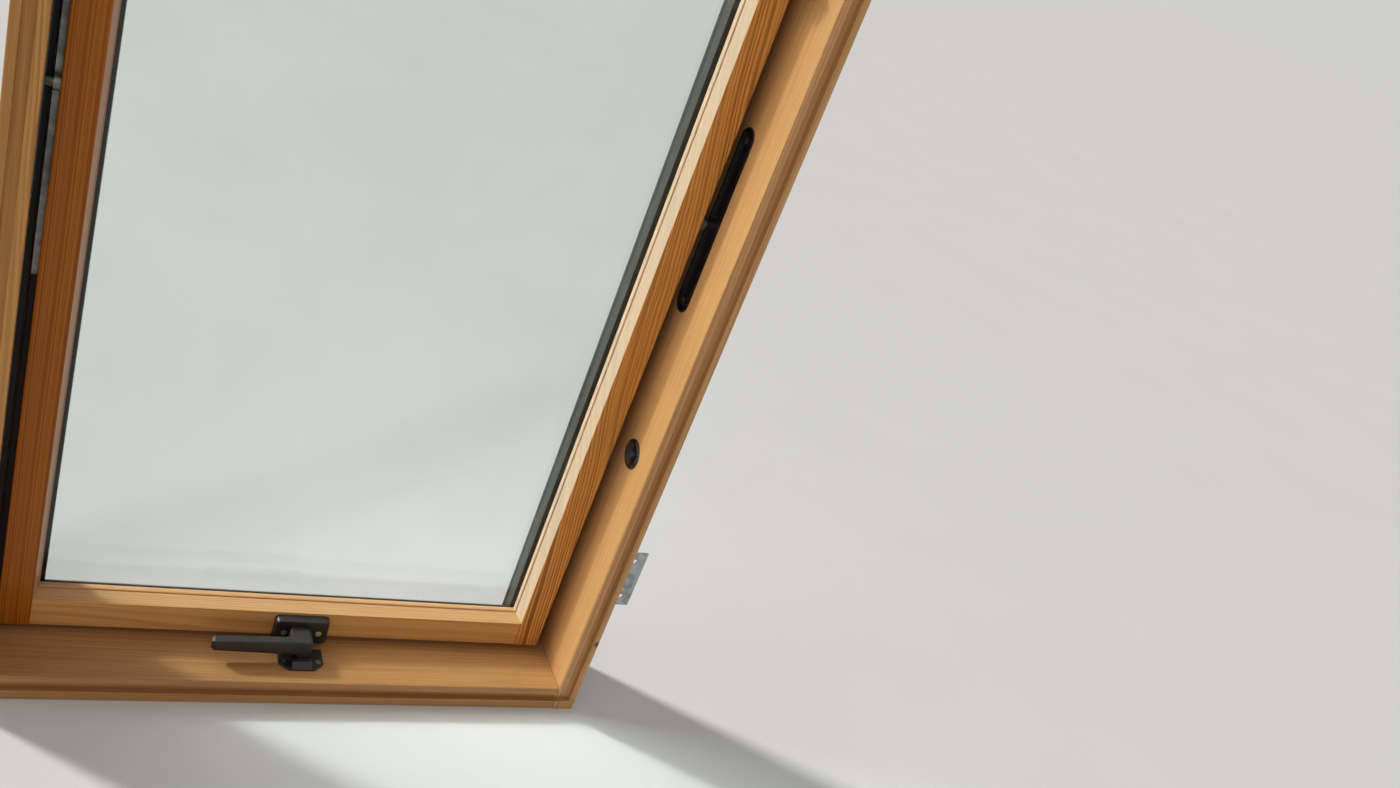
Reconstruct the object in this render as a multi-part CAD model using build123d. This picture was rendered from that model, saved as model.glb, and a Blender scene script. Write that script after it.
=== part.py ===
"""Centre-pivot roof window of clear-finished pine, 780 x 1400 mm, with its frame.

X is the width (to the right as seen from the room), Z runs up the slope of the roof and +Y points
out through the roof, so the room is on the -Y side. The origin is the middle of the sill's underside.
The sash turns about a pair of side pins at mid-height: its top comes into the room, its bottom goes
out. A lever at the bottom holds it shut, and a side bolt holds it when it is turned over for cleaning.
"""
from build123d import *
from math import atan2, degrees, sqrt
import os

os.makedirs("parts", exist_ok=True)

# Frame, in planed pine
frame_width = 780.0
frame_height = 1400.0
jamb_thickness = 31.0
sill_thickness = 36.0
head_thickness = 36.0
room_reveal = 80.0            # from the sash's face to the frame's edge on the room side
weather_depth = 50.0          # from the sash's face to the frame's outer edge
tenon_length = 16.0
tenon_thickness = 12.0
tenon_inset = 6.0             # from a tenon's edge to the edge of its rail
lining_groove_width = 12.0
lining_groove_depth = 8.0
lining_groove_inset = 10.0    # from the frame's inner faces
sill_weathering = 8.0         # how far the sill's outer edge drops
sill_flat_end = 38.0          # depth behind the sash's face where the weathering starts
eased_edge = 2.0

# Sash, in planed pine
side_gap = 14.0
sill_gap = 8.0
head_gap = 8.0
sash_depth = 55.0
stile_face = 35.5
bottom_rail_face = 38.0
top_rail_face = 38.0
moulding_width = 6.5
chamfer_width = 5.0
chamfer_depth = 18.0
quirk_depth = 1.4
bead_radius = 1.6
rebate_floor = 27.0           # depth of the glazing rebate behind the sash's face

# Sealed glazing unit
pane_thickness = 4.0
cavity = 16.0
pane_lap_side = 9.0           # how far the wood covers the glass
pane_lap_top = 9.0
pane_lap_bottom = 32.0
pane_clearance = 3.0
spacer_width = 7.0
spacer_bend_radius = 3.0
edge_seal_width = 6.5
inner_gasket_thickness = 2.0
outer_gasket_thickness = 2.0
gasket_width = 7.5
setting_block_length = 80.0
setting_block_inset = 110.0

# Weather seals in the gap between sash and frame
seal_depth = 30.0             # behind the sash's face
seal_width = 6.0
seal_bead_side_sash = 6.5
seal_bead_side_frame = 6.5
seal_bead_end = 3.5
seal_tongue = 3.0
seal_tongue_thickness = 2.4
seal_rounding = 1.2
seal_root = 0.5               # how far a tongue reaches into its bead

# Aluminium covers
sheet = 1.5
bend_radius = 2.0
cover_lap_on_glass = 6.0      # at the sides, past the edge of the wood
cover_past_spacer_top = 3.0
cover_past_spacer_bottom = 1.0
sash_cover_leg = 18.0
frame_cover_leg = 31.0
frame_cover_setback = 0.5     # of the inner edge from the jamb's inner face
cover_joint = 1.0
bottom_lip = 20.0
bottom_drip = 4.0
sill_cover_drop = 24.0
hood_clearance = 3.0          # over the sash's cover
hood_lap = 34.0               # how far the hood comes down over the sash
hood_leg = 34.0
hood_lip = 1.0
hood_cheek_leg = 44.0
hood_bend_radius = 8.0

# Pivot hinges
pivot_depth = 8.0             # behind the sash's face
pivot_pin_radius = 4.0
pin_in_bearing = 0.05         # radial clearance
pin_in_arm = 0.02
arm_thickness = 6.0
arm_setback = 11.5            # of the bar from the sash's face
arm_width = 14.5
arm_eye_radius = 8.0
arm_reach = 205.0             # each way from the pin
arm_corner = 5.0
arm_screw_spacings = (60.0, 175.0)
hinge_plate_length = 236.0
hinge_plate_rise = 7.0        # of its middle above the pin
hinge_plate_width = 31.0
hinge_plate_centre = -1.0     # depth of its middle behind the sash's face
hinge_plate_depth = 10.0
hinge_plate_rim = 2.5
hinge_plate_proud = 1.0
hinge_plate_trough = 3.5
bearing_radius = 6.3
bearing_to_arm = 1.0
plate_screw_inset = 15.0      # from the plate's end
plate_screw_boss = 6.0

# Closing handle on the sash's bottom rail
handle_x = 8.0
handle_height = 15.2          # of the spindle above the sash's bottom edge
handle_base_width = 70.0
handle_base_height = 38.5
handle_base_thickness = 11.5
handle_base_draft = 8.0       # degrees
handle_base_corner = 6.0
handle_base_edge = 1.2
handle_screw_spacing = 44.0
handle_screw_drop = 1.5       # below the spindle
spindle_radius = 4.5
spindle_in_base = 0.05
spindle_in_lever = 0.02
spindle_head_radius = 8.0
spindle_head_thickness = 2.0
spindle_grip = 12.0           # length held in the lever
spindle_head_fit = 0.5        # radial, in the base's seat
spindle_end_play = 0.15
neck_width = 26.0
neck_offset = 3.0             # of the neck's middle, to the left of the spindle
neck_reach = 31.5             # from the base's front to the lever's front
neck_flare = 3.0              # how much wider the neck is where it meets the arm
lever_running_gap = 0.3
arm_bar_thickness = 12.0
lever_height = 20.5
lever_tip_height = 15.5
lever_length = 113.0          # from the spindle's axis to the tip
lever_tip_round = 3.5
lever_tip_taper = 4.9         # how much smaller the end of the tip is each way
lever_heel_radius = 1.8       # of the neck's corners, seen from the room
lever_edge = 1.5
tongue_radius = 19.7
tongue_width = 13.0
tongue_thickness = 6.0

# Strike on the sill
strike_width = 57.0
strike_depth = 38.5
strike_corner = 12.0
strike_screw_inset = 15.0     # from its room edge
strike_base = 3.0
strike_edge = 1.0
keeper_width = 26.0
keeper_depth = 29.5
keeper_height = 8.5
keeper_slope = 7.0
keeper_edge = 1.2
keeper_slot_clearance = 0.7
strike_room_edge = 58.0       # from the sash's face
keeper_room_edge = 57.0

# Cleaning bolt on the right stile and its bush in the right jamb
bush_below_pivot = 307.0
bush_from_sash = 25.0         # to the room side of the sash's face
bush_flange_radius = 20.0
bush_bore_radius = 6.75
bush_proud = 2.6
bush_crown_radius = 17.6      # of the rim's highest ring, round which the dish begins
bush_shoulder = (19.2, 1.7)   # radius and height of the rim's round outside
bush_mouth_radius = 9.5
bush_mouth_depth = 1.5        # of the dish's foot below the jamb's face
bush_throat_depth = 9.0       # where the mouth has narrowed to the bore
bush_barrel_radius = 15.0
bush_barrel_length = 16.0
bolt_radius = 4.0
bolt_in_housing = 0.06
bolt_standoff = 11.0          # of the bolt's axis from the sash's face
bolt_length = 36.0
bolt_travel = 12.0
bolt_tip_gap = 0.6            # to the jamb, at full travel
bolt_nose = 1.6
housing_length = 30.0
housing_height = 22.0
housing_thickness = 17.0
housing_edge = 1.5
housing_screw_spacing = 15.0
housing_setback = 3.0         # from the sash's side
knob_radius = 3.0
knob_head_radius = 5.5
knob_head_thickness = 5.0
knob_edge = 1.25
knob_slot_clearance = 0.5
knob_reach = 12.0

# Mounting brackets
bracket_sheet = 2.0
bracket_bend_radius = 3.0
bracket_height = 90.0
bracket_wood_leg = 50.0
bracket_roof_leg = 45.0
bracket_from_end = 200.0
bracket_depth = -20.0         # Y of the roof leg's inner face
bracket_hole_radius = 3.25
bracket_hole_spacing = 30.0
bracket_slot_length = 12.0

# Screws: head radius, shank radius, length
screw_fit = 0.05
handle_screw = (4.0, 2.0, 34.0)
strike_screw = (3.6, 1.9, 22.0)
arm_screw = (4.2, 2.1, 26.0)
plate_screw = (4.0, 2.0, 24.0)
bracket_screw = (4.5, 2.3, 24.0)
housing_screw = (2.8, 1.4, 28.0)
wood_fit = 0.1                # between a tenon and its mortise
hardware_fit = 0.15           # round what is let into the wood
head_rim = 0.2                # straight rim of a screw's head
point_length = 3.0            # of a screw's point, in radii of its shank
beyond = 1.0                  # how far a cut starts outside the piece, or a tenon inside its rail
near = 0.01                   # how closely an edge is told by its place

# Places that follow from the sizes
opening_half = frame_width / 2 - jamb_thickness
sash_half = opening_half - side_gap
sash_z0 = sill_thickness + sill_gap
sash_z1 = frame_height - head_thickness - head_gap
sash_face_y = (room_reveal - weather_depth) / 2
frame_room_y = sash_face_y - room_reveal
frame_outer_y = sash_face_y + weather_depth
sash_outer_y = sash_face_y + sash_depth
pivot_y = sash_face_y + pivot_depth
pivot_z = (sash_z0 + sash_z1) / 2
arris_x = sash_half - stile_face
arris_z0 = sash_z0 + bottom_rail_face
arris_z1 = sash_z1 - top_rail_face
sight_x = arris_x - moulding_width
sight_z0 = arris_z0 + moulding_width
sight_z1 = arris_z1 - moulding_width
pane_half = sight_x + pane_lap_side
pane_z0 = sight_z0 - pane_lap_bottom
pane_z1 = sight_z1 + pane_lap_top
inner_pane_y = sash_face_y + rebate_floor + inner_gasket_thickness
outer_pane_y = inner_pane_y + pane_thickness + cavity
glass_outer_y = outer_pane_y + pane_thickness
cover_y = sash_outer_y + sheet
seal_y0 = sash_face_y + seal_depth
seal_y1 = seal_y0 + seal_width


def block(x0, x1, y0, y1, z0, z1):
    """A box between two corners."""
    middle = Pos((x0 + x1) / 2, (y0 + y1) / 2, (z0 + z1) / 2)
    return middle * Box(x1 - x0, y1 - y0, z1 - z0)


def ring(half_out, z0_out, z1_out, half_in, z0_in, z1_in, y0, y1):
    """A rectangular ring that lies in the plane of the window."""
    outer = block(-half_out, half_out, y0, y1, z0_out, z1_out)
    return outer - block(-half_in, half_in, y0 - beyond, y1 + beyond, z0_in, z1_in)


def even_ring(half, z0, z1, width_out, width_in, y0, y1):
    """A ring that reaches out and in by even amounts from a rectangle."""
    return ring(
        half + width_out, z0 - width_out, z1 + width_out,
        half - width_in, z0 + width_in, z1 - width_in, y0, y1,
    )


def drawn_x(points, x0, x1):
    """A section in (y, z), drawn out along the width."""
    face = make_face(Polyline(*[(x0, y, z) for y, z in points], close=True))
    return extrude(face, x1 - x0, dir=(1, 0, 0))


def drawn_y(points, y0, y1):
    """A front view in (x, z), drawn out through the roof's depth."""
    face = make_face(Polyline(*[(x, y0, z) for x, z in points], close=True))
    return extrude(face, y1 - y0, dir=(0, 1, 0))


def drawn_z(points, z0, z1):
    """A plan in (x, y), drawn out up the slope."""
    face = make_face(Polyline(*[(x, y, z0) for x, y in points], close=True))
    return extrude(face, z1 - z0, dir=(0, 0, 1))


def rod_x(radius, x0, x1, y, z):
    """A round bar along the width."""
    return Pos((x0 + x1) / 2, y, z) * Rot(0, 90, 0) * Cylinder(radius, x1 - x0)


def rod_y(radius, y0, y1, x, z):
    """A round bar along the depth."""
    return Pos(x, (y0 + y1) / 2, z) * Rot(90, 0, 0) * Cylinder(radius, y1 - y0)


def folded_x(points, x0, x1, radius=bend_radius):
    """Sheet metal folded along the width: the middle line of its section is given in (y, z)."""
    section = Plane.YZ * trace(FilletPolyline(*points, radius=radius), sheet)
    return Pos(x0, 0, 0) * extrude(section, x1 - x0, dir=(1, 0, 0))


def folded_z(points, z0, z1, radius=bend_radius, thickness=sheet):
    """Sheet metal folded along the slope: the middle line of its section is given in (x, y)."""
    section = trace(FilletPolyline(*points, radius=radius), thickness)
    return Pos(0, 0, z0) * extrude(section, z1 - z0, dir=(0, 0, 1))


def other_side(shape):
    """The left-hand twin of a right-hand piece."""
    return mirror(shape, about=Plane.YZ)


def turned_screw(size, spare):
    """A countersunk screw along -Z, its head level with the origin; spare widens it to a hole."""
    head, shank, length = size
    top = beyond if spare else 0.0
    outline = Polyline(
        (0, 0, top), (head + spare, 0, top), (head + spare, 0, -head_rim), (shank + spare, 0, shank - head),
        (shank + spare, 0, point_length * shank - length), (0, 0, -length - spare), close=True,
    )
    return revolve(make_face(outline), axis=Axis.Z)


def screws(size, places, direction, spare=0.0):
    """Screws with their heads at the given places, facing the given direction."""
    made = []
    for place in places:
        made.append(Plane(origin=place, z_dir=direction) * turned_screw(size, spare))
    return made


def cut(shape, tools):
    """The shape with each of the tools taken out of it."""
    for tool in tools:
        shape = shape - tool
    return shape


def eased(shape, axis, radius, places):
    """Round the long edges along an axis whose middles lie at the given two coordinates."""
    chosen = []
    for edge in shape.edges().filter_by(axis):
        middle = edge.center()
        seen = (middle.Y, middle.Z) if axis == Axis.X else (middle.X, middle.Y)
        if any(abs(seen[0] - a) < near and abs(seen[1] - b) < near for a, b in places):
            chosen.append(edge)
    return fillet(chosen, radius)


def save(name, shape):
    """Write one piece, or a list of like pieces, to its own file."""
    if isinstance(shape, list):
        shape = Compound(children=[solid for piece in shape for solid in piece.solids()])
    export_step(shape, f"parts/{name}.step")


# Frame of pine: jambs run full height, sill and head are tenoned between them
def jamb_tenon(z0, z1, spare):
    """The tenon of a frame rail, from the jamb's inner face into the jamb."""
    middle = (frame_room_y + frame_outer_y) / 2
    return block(
        opening_half - beyond - spare, opening_half + tenon_length + spare,
        middle - tenon_thickness / 2 - spare, middle + tenon_thickness / 2 + spare,
        z0 + tenon_inset - spare, z1 - tenon_inset + spare,
    )


lining_groove = even_ring(
    opening_half + lining_groove_inset, sill_thickness - lining_groove_inset,
    frame_height - head_thickness + lining_groove_inset,
    lining_groove_width, 0.0, frame_room_y - beyond, frame_room_y + lining_groove_depth,
)
seal_mid_y = (seal_y0 + seal_y1) / 2
frame_seal_groove = even_ring(
    opening_half, sill_thickness, frame_height - head_thickness,
    seal_tongue + wood_fit, beyond,
    seal_mid_y - seal_tongue_thickness / 2 - wood_fit, seal_mid_y + seal_tongue_thickness / 2 + wood_fit,
)


def jamb():
    """The right jamb before the fittings are let in."""
    shape = block(opening_half, frame_width / 2, frame_room_y, frame_outer_y, 0, frame_height)
    corners = [(opening_half, frame_room_y), (frame_width / 2, frame_room_y), (frame_width / 2, frame_outer_y)]
    shape = eased(shape, Axis.Z, eased_edge, corners)
    sockets = [
        jamb_tenon(0, sill_thickness, wood_fit),
        jamb_tenon(frame_height - head_thickness, frame_height, wood_fit),
    ]
    return cut(shape, sockets + [lining_groove, frame_seal_groove])


def sill():
    """The sill: flat on the room side, weathered towards its outer edge."""
    section = [
        (frame_room_y, 0),
        (frame_outer_y, 0),
        (frame_outer_y, sill_thickness - sill_weathering),
        (sash_face_y + sill_flat_end, sill_thickness),
        (frame_room_y, sill_thickness),
    ]
    shape = drawn_x(section, -opening_half, opening_half)
    outer_edge = (frame_outer_y, sill_thickness - sill_weathering)
    shape = eased(shape, Axis.X, eased_edge, [(frame_room_y, sill_thickness), (frame_room_y, 0), outer_edge])
    tenon = jamb_tenon(0, sill_thickness, 0)
    return cut(shape + tenon + other_side(tenon), [lining_groove, frame_seal_groove])


def head():
    """The head: a plain rail tenoned between the jambs."""
    low = frame_height - head_thickness
    shape = block(-opening_half, opening_half, frame_room_y, frame_outer_y, low, frame_height)
    shape = eased(shape, Axis.X, eased_edge, [(frame_room_y, low), (frame_room_y, frame_height)])
    tenon = jamb_tenon(low, frame_height, 0)
    return cut(shape + tenon + other_side(tenon), [lining_groove, frame_seal_groove])


# Sash of pine: stiles run full height, rails are tenoned between them, the mouldings meet in mitres
pane_pocket = block(
    -pane_half - pane_clearance, pane_half + pane_clearance,
    sash_face_y + rebate_floor, sash_outer_y + beyond, pane_z0 - pane_clearance, pane_z1 + pane_clearance,
)
sash_seal_groove = ring(
    sash_half + beyond, sash_z0 - beyond, sash_z1 + beyond,
    sash_half - seal_tongue - wood_fit, sash_z0 + seal_tongue + wood_fit, sash_z1 - seal_tongue - wood_fit,
    seal_mid_y - seal_tongue_thickness / 2 - wood_fit, seal_mid_y + seal_tongue_thickness / 2 + wood_fit,
)


def moulding(place, direction, length):
    """The sash's inner edge: a steep chamfer, a quirk and a bead; place sets (inward, deep) in space."""
    quirk_width = chamfer_width - quirk_depth
    bead_width = moulding_width - bead_radius
    bead_top = chamfer_depth + quirk_depth
    bead_side = bead_top + bead_radius
    start = Polyline(
        place(0, rebate_floor), place(0, 0), place(chamfer_width, chamfer_depth),
        place(quirk_width, chamfer_depth), place(quirk_width, bead_top), place(bead_width, bead_top),
    )
    crown = bead_radius * (1 - sqrt(0.5))
    bead = ThreePointArc(
        place(bead_width, bead_top), place(moulding_width - crown, bead_top + crown),
        place(moulding_width, bead_side),
    )
    end = Polyline(
        place(moulding_width, bead_side), place(moulding_width, rebate_floor), place(0, rebate_floor),
    )
    return extrude(make_face(start.edges() + [bead] + end.edges()), length, dir=direction)


def stile_moulding():
    """The right stile's moulding, mitred at both ends."""
    along = moulding(
        lambda inward, deep: (arris_x - inward, sash_face_y + deep, arris_z0), (0, 0, 1), arris_z1 - arris_z0
    )
    mitre = drawn_y(
        [(arris_x, arris_z0), (sight_x, sight_z0), (sight_x, sight_z1), (arris_x, arris_z1)],
        sash_face_y - beyond, sash_outer_y,
    )
    return along & mitre


def rail_moulding(arris_z, up):
    """A rail's moulding, mitred at both ends; up is 1 for the bottom rail and -1 for the top rail."""
    along = moulding(
        lambda inward, deep: (-arris_x, sash_face_y + deep, arris_z + up * inward), (1, 0, 0), 2 * arris_x
    )
    sight_z = arris_z + up * moulding_width
    mitre = drawn_y(
        [(-arris_x, arris_z), (-sight_x, sight_z), (sight_x, sight_z), (arris_x, arris_z)],
        sash_face_y - beyond, sash_outer_y,
    )
    return along & mitre


def sash_tenon(z0, z1, spare):
    """The tenon of a sash rail, in the solid wood in front of the glazing rebate."""
    middle = sash_face_y + rebate_floor / 2
    return block(
        arris_x - beyond - spare, arris_x + tenon_length + spare,
        middle - tenon_thickness / 2 - spare, middle + tenon_thickness / 2 + spare,
        z0 + tenon_inset - spare, z1 - tenon_inset + spare,
    )


def stile():
    """The right stile before the fittings are screwed on."""
    shape = block(arris_x, sash_half, sash_face_y, sash_outer_y, sash_z0, sash_z1)
    shape = eased(shape, Axis.Z, eased_edge, [(sash_half, sash_face_y), (sash_half, sash_outer_y)])
    shape = eased(shape, Axis.X, eased_edge, [(sash_outer_y, sash_z1)])
    sockets = [sash_tenon(sash_z0, arris_z0, wood_fit), sash_tenon(arris_z1, sash_z1, wood_fit)]
    return cut(shape + stile_moulding(), sockets + [pane_pocket, sash_seal_groove])


def rail(z0, z1, arris_z, up, outer_z):
    """A sash rail between the stiles, with its tenons."""
    shape = block(-arris_x, arris_x, sash_face_y, sash_outer_y, z0, z1)
    shape = eased(shape, Axis.X, eased_edge, [(sash_face_y, outer_z), (sash_outer_y, outer_z)])
    tenon = sash_tenon(z0, z1, 0)
    shape = shape + rail_moulding(arris_z, up) + tenon + other_side(tenon)
    return cut(shape, [pane_pocket, sash_seal_groove])


# Sealed glazing unit with its gaskets and setting blocks
def pane(y0):
    """One sheet of glass."""
    return block(-pane_half, pane_half, y0, y0 + pane_thickness, pane_z0, pane_z1)


def spacer_frame():
    """The aluminium bar between the panes, bent round at the corners."""
    rim = edge_seal_width
    shape = even_ring(
        pane_half, pane_z0, pane_z1, -rim, rim + spacer_width,
        inner_pane_y + pane_thickness, outer_pane_y,
    )
    inner_corners = [
        edge for edge in shape.edges().filter_by(Axis.Y)
        if abs(abs(edge.center().X) - (pane_half - rim - spacer_width)) < near
    ]
    return fillet(inner_corners, spacer_bend_radius)


def edge_seal():
    """The black sealant round the spacer."""
    return even_ring(
        pane_half, pane_z0, pane_z1, 0, edge_seal_width, inner_pane_y + pane_thickness, outer_pane_y
    )


def inner_gasket():
    """The bedding strip between the rebate and the inner pane, level with the sight line."""
    return ring(
        pane_half, pane_z0, pane_z1, pane_half - gasket_width,
        sight_z0 - pane_lap_side + gasket_width, pane_z1 - gasket_width,
        sash_face_y + rebate_floor, inner_pane_y,
    )


def outer_gasket():
    """The strip between the outer pane and the covers."""
    return ring(
        pane_half, pane_z0, pane_z1, pane_half - gasket_width, pane_z0 + gasket_width,
        pane_z1 - gasket_width, glass_outer_y, sash_outer_y,
    )


def setting_blocks():
    """The two blocks that carry the glass on the bottom rail."""
    x1 = pane_half - setting_block_inset
    right = block(
        x1 - setting_block_length, x1, inner_pane_y, glass_outer_y, pane_z0 - pane_clearance, pane_z0
    )
    return [other_side(right), right]


# Seals: a bead on the sash and a bead on the frame stand face to face in the gap
def tongue_ring(half, z0, z1, sign):
    """The tongue of a seal, reaching outwards into the frame or inwards into the sash."""
    y0 = seal_mid_y - seal_tongue_thickness / 2
    y1 = seal_mid_y + seal_tongue_thickness / 2
    if sign > 0:
        return even_ring(half, z0, z1, seal_tongue, seal_root, y0, y1)
    return even_ring(half, z0, z1, seal_root, seal_tongue, y0, y1)


def rounded_bead(shape, half):
    """Round the bead's edges that face the gap."""
    edges = [
        edge for edge in shape.edges().filter_by(Axis.Z)
        if abs(abs(edge.center().X) - half) < near
    ]
    return fillet(edges, seal_rounding)


def sash_seal():
    """The seal round the outside of the sash."""
    bead = ring(
        sash_half + seal_bead_side_sash, sash_z0 - seal_bead_end, sash_z1 + seal_bead_end,
        sash_half, sash_z0, sash_z1, seal_y0, seal_y1,
    )
    bead = rounded_bead(bead, sash_half + seal_bead_side_sash)
    return bead + tongue_ring(sash_half, sash_z0, sash_z1, -1)


def frame_seal():
    """The seal round the inside of the frame."""
    top = frame_height - head_thickness
    bead = ring(
        opening_half, sill_thickness, top, opening_half - seal_bead_side_frame,
        sill_thickness + seal_bead_end, top - seal_bead_end, seal_y0, seal_y1,
    )
    bead = rounded_bead(bead, opening_half - seal_bead_side_frame)
    return bead + tongue_ring(opening_half, sill_thickness, top, 1)


# Aluminium covers outside
cover_mid_y = sash_outer_y + sheet / 2
cover_sight_x = sight_x - cover_lap_on_glass
cover_sight_z0 = pane_z0 + spacer_width + edge_seal_width + cover_past_spacer_bottom
cover_sight_z1 = pane_z1 - spacer_width - edge_seal_width - cover_past_spacer_top
frame_cover_y = frame_outer_y + sheet / 2
hood_y = cover_y + hood_clearance + sheet / 2
hood_z0 = sash_z1 - hood_lap + head_gap


def sash_side_cover():
    """The right stile's cover: over the edge of the glass, then down the side of the sash."""
    middle_x = sash_half + sheet / 2
    line = [(cover_sight_x, cover_mid_y), (middle_x, cover_mid_y), (middle_x, cover_y - sash_cover_leg)]
    return folded_z(line, cover_sight_z0 + cover_joint, cover_sight_z1 - cover_joint)


def sash_top_cover():
    """The top rail's cover, tucked under the hood."""
    z = sash_z1 + sheet / 2
    line = [(cover_mid_y, cover_sight_z1), (cover_mid_y, z), (cover_y - sash_cover_leg, z)]
    return folded_x(line, -sash_half - sheet, sash_half + sheet)


def sash_bottom_cover():
    """The bottom rail's cover, with a lip that hangs over the sill and ends in a drip."""
    z = sash_z0 - bottom_lip
    line = [(cover_mid_y, cover_sight_z0), (cover_mid_y, z), (cover_mid_y + bottom_drip, z - bottom_drip)]
    return folded_x(line, -sash_half - sheet, sash_half + sheet)


def frame_side_cover(z0, z1):
    """A length of the right jamb's cover: over its outer edge, then down its outer side."""
    middle_x = frame_width / 2 + sheet / 2
    line = [
        (opening_half + frame_cover_setback, frame_cover_y),
        (middle_x, frame_cover_y),
        (middle_x, frame_outer_y + sheet - frame_cover_leg),
    ]
    return folded_z(line, z0, z1)


def frame_sill_cover():
    """The sill's cover: down its weathering and its outer face."""
    half_sheet = sheet / 2
    line = [
        (sash_face_y + sill_flat_end + half_sheet, sill_thickness + half_sheet),
        (frame_cover_y, sill_thickness - sill_weathering + half_sheet),
        (frame_cover_y, sill_thickness - sill_weathering - sill_cover_drop),
    ]
    return folded_x(line, -opening_half + cover_joint, opening_half - cover_joint)


def hood():
    """The hood over the head and the top of the sash, closed at both ends by cheeks."""
    z1 = frame_height + sheet / 2
    line = [
        (hood_y - hood_lip - sheet, hood_z0 + sheet / 2),
        (hood_y, hood_z0 + sheet / 2),
        (hood_y, z1),
        (frame_outer_y - hood_leg, z1),
    ]
    half = frame_width / 2 + 2 * sheet
    shell = Plane.YZ * trace(FilletPolyline(*line, radius=(bend_radius, hood_bend_radius)), sheet)
    shell = Pos(-half, 0, 0) * extrude(shell, 2 * half, dir=(1, 0, 0))
    corners = (hood_bend_radius, bend_radius, bend_radius, bend_radius, bend_radius)
    cheek = FilletPolyline(
        (hood_y, z1), (hood_y, hood_z0 + sheet / 2), (frame_outer_y + sheet, hood_z0 + sheet / 2),
        (frame_outer_y - hood_leg, z1 - hood_cheek_leg), (frame_outer_y - hood_leg, z1),
        radius=corners, close=True,
    )
    plate = extrude(Plane.YZ * make_face(cheek), sheet, dir=(1, 0, 0))
    plate = Pos(half - sheet, 0, 0) * plate
    return shell + plate + other_side(plate)


# Pivot hinges
bearing_x = opening_half + hinge_plate_depth


def stadium_x(length, width, x0, x1, y, z):
    """A flat body with round ends that stands on edge against a jamb."""
    outline = Plane(origin=(x0, y, z), x_dir=(0, 0, 1), z_dir=(1, 0, 0)) * SlotOverall(length, width)
    return extrude(outline, x1 - x0, dir=(1, 0, 0))


hinge_y = sash_face_y + hinge_plate_centre
hinge_z = pivot_z + hinge_plate_rise
plate_screw_offset = hinge_plate_length / 2 - plate_screw_inset
plate_screw_places = [
    (opening_half - hinge_plate_proud, hinge_y, hinge_z + side * plate_screw_offset) for side in (-1, 1)
]


def hinge_plate():
    """The bearing plate let into the right jamb: rim, trough, bearing boss and two screw bosses."""
    x0 = opening_half - hinge_plate_proud
    floor_x = x0 + hinge_plate_trough
    body = stadium_x(hinge_plate_length, hinge_plate_width, x0, bearing_x, hinge_y, hinge_z)
    trough = stadium_x(
        hinge_plate_length - 2 * hinge_plate_rim, hinge_plate_width - 2 * hinge_plate_rim,
        x0 - beyond, floor_x, hinge_y, hinge_z,
    )
    body = body - trough
    for _, y, z in plate_screw_places:
        body = body + rod_x(plate_screw_boss, x0, floor_x + beyond, y, z)
    boss_x = sash_half + arm_thickness + bearing_to_arm
    body = body + rod_x(bearing_radius, boss_x, bearing_x, pivot_y, pivot_z)
    bore = rod_x(
        pivot_pin_radius + pin_in_bearing, boss_x - beyond, bearing_x + beyond, pivot_y, pivot_z
    )
    return cut(body, [bore] + screws(plate_screw, plate_screw_places, (-1, 0, 0), screw_fit))


def hinge_recess():
    """The recess for the bearing plate in the right jamb."""
    return stadium_x(
        hinge_plate_length + 2 * hardware_fit, hinge_plate_width + 2 * hardware_fit,
        opening_half - hinge_plate_proud - beyond, bearing_x + hardware_fit, hinge_y, hinge_z,
    )


arm_screw_places = [
    (sash_half + arm_thickness, sash_face_y + arm_setback + arm_width / 2, pivot_z + side * spacing)
    for side in (-1, 1) for spacing in arm_screw_spacings
]


def hinge_arm():
    """The steel arm on the right stile's side: a bar with an eye, which carries the pin."""
    x1 = sash_half + arm_thickness
    y0 = sash_face_y + arm_setback
    shape = block(sash_half, x1, y0, y0 + arm_width, pivot_z - arm_reach, pivot_z + arm_reach)
    shape = fillet(shape.edges().filter_by(Axis.X), arm_corner)
    shape = shape + rod_x(arm_eye_radius, sash_half, x1, pivot_y, pivot_z)
    bore = rod_x(pivot_pin_radius + pin_in_arm, sash_half - beyond, x1 + beyond, pivot_y, pivot_z)
    return cut(shape, [bore] + screws(arm_screw, arm_screw_places, (1, 0, 0), screw_fit))


def pivot_pin():
    """The pin from the right arm into its bearing."""
    return rod_x(pivot_pin_radius, sash_half, bearing_x - hardware_fit, pivot_y, pivot_z)


# Handle and strike
handle_z = sash_z0 + handle_height
handle_front_y = sash_face_y - handle_base_thickness
lever_front_y = handle_front_y - neck_reach
handle_screw_places = [
    (handle_x + side * handle_screw_spacing / 2, handle_front_y, handle_z - handle_screw_drop)
    for side in (-1, 1)
]


def handle_base():
    """The base plate: drafted sides, rounded corners, bored for the spindle."""
    outline = Plane(
        origin=(handle_x, sash_face_y, handle_z), x_dir=(1, 0, 0), z_dir=(0, -1, 0)
    ) * RectangleRounded(handle_base_width, handle_base_height, handle_base_corner)
    shape = extrude(outline, handle_base_thickness, taper=handle_base_draft)
    front = shape.faces().sort_by(Axis.Y)[0]
    shape = fillet(front.edges(), handle_base_edge)
    bore = rod_y(
        spindle_radius + spindle_in_base, handle_front_y - beyond, sash_face_y + beyond, handle_x, handle_z
    )
    seat = rod_y(
        spindle_head_radius + spindle_head_fit,
        sash_face_y - spindle_head_thickness - 2 * spindle_end_play, sash_face_y + beyond,
        handle_x, handle_z,
    )
    return cut(shape, [bore, seat] + screws(handle_screw, handle_screw_places, (0, -1, 0), screw_fit))


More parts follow.
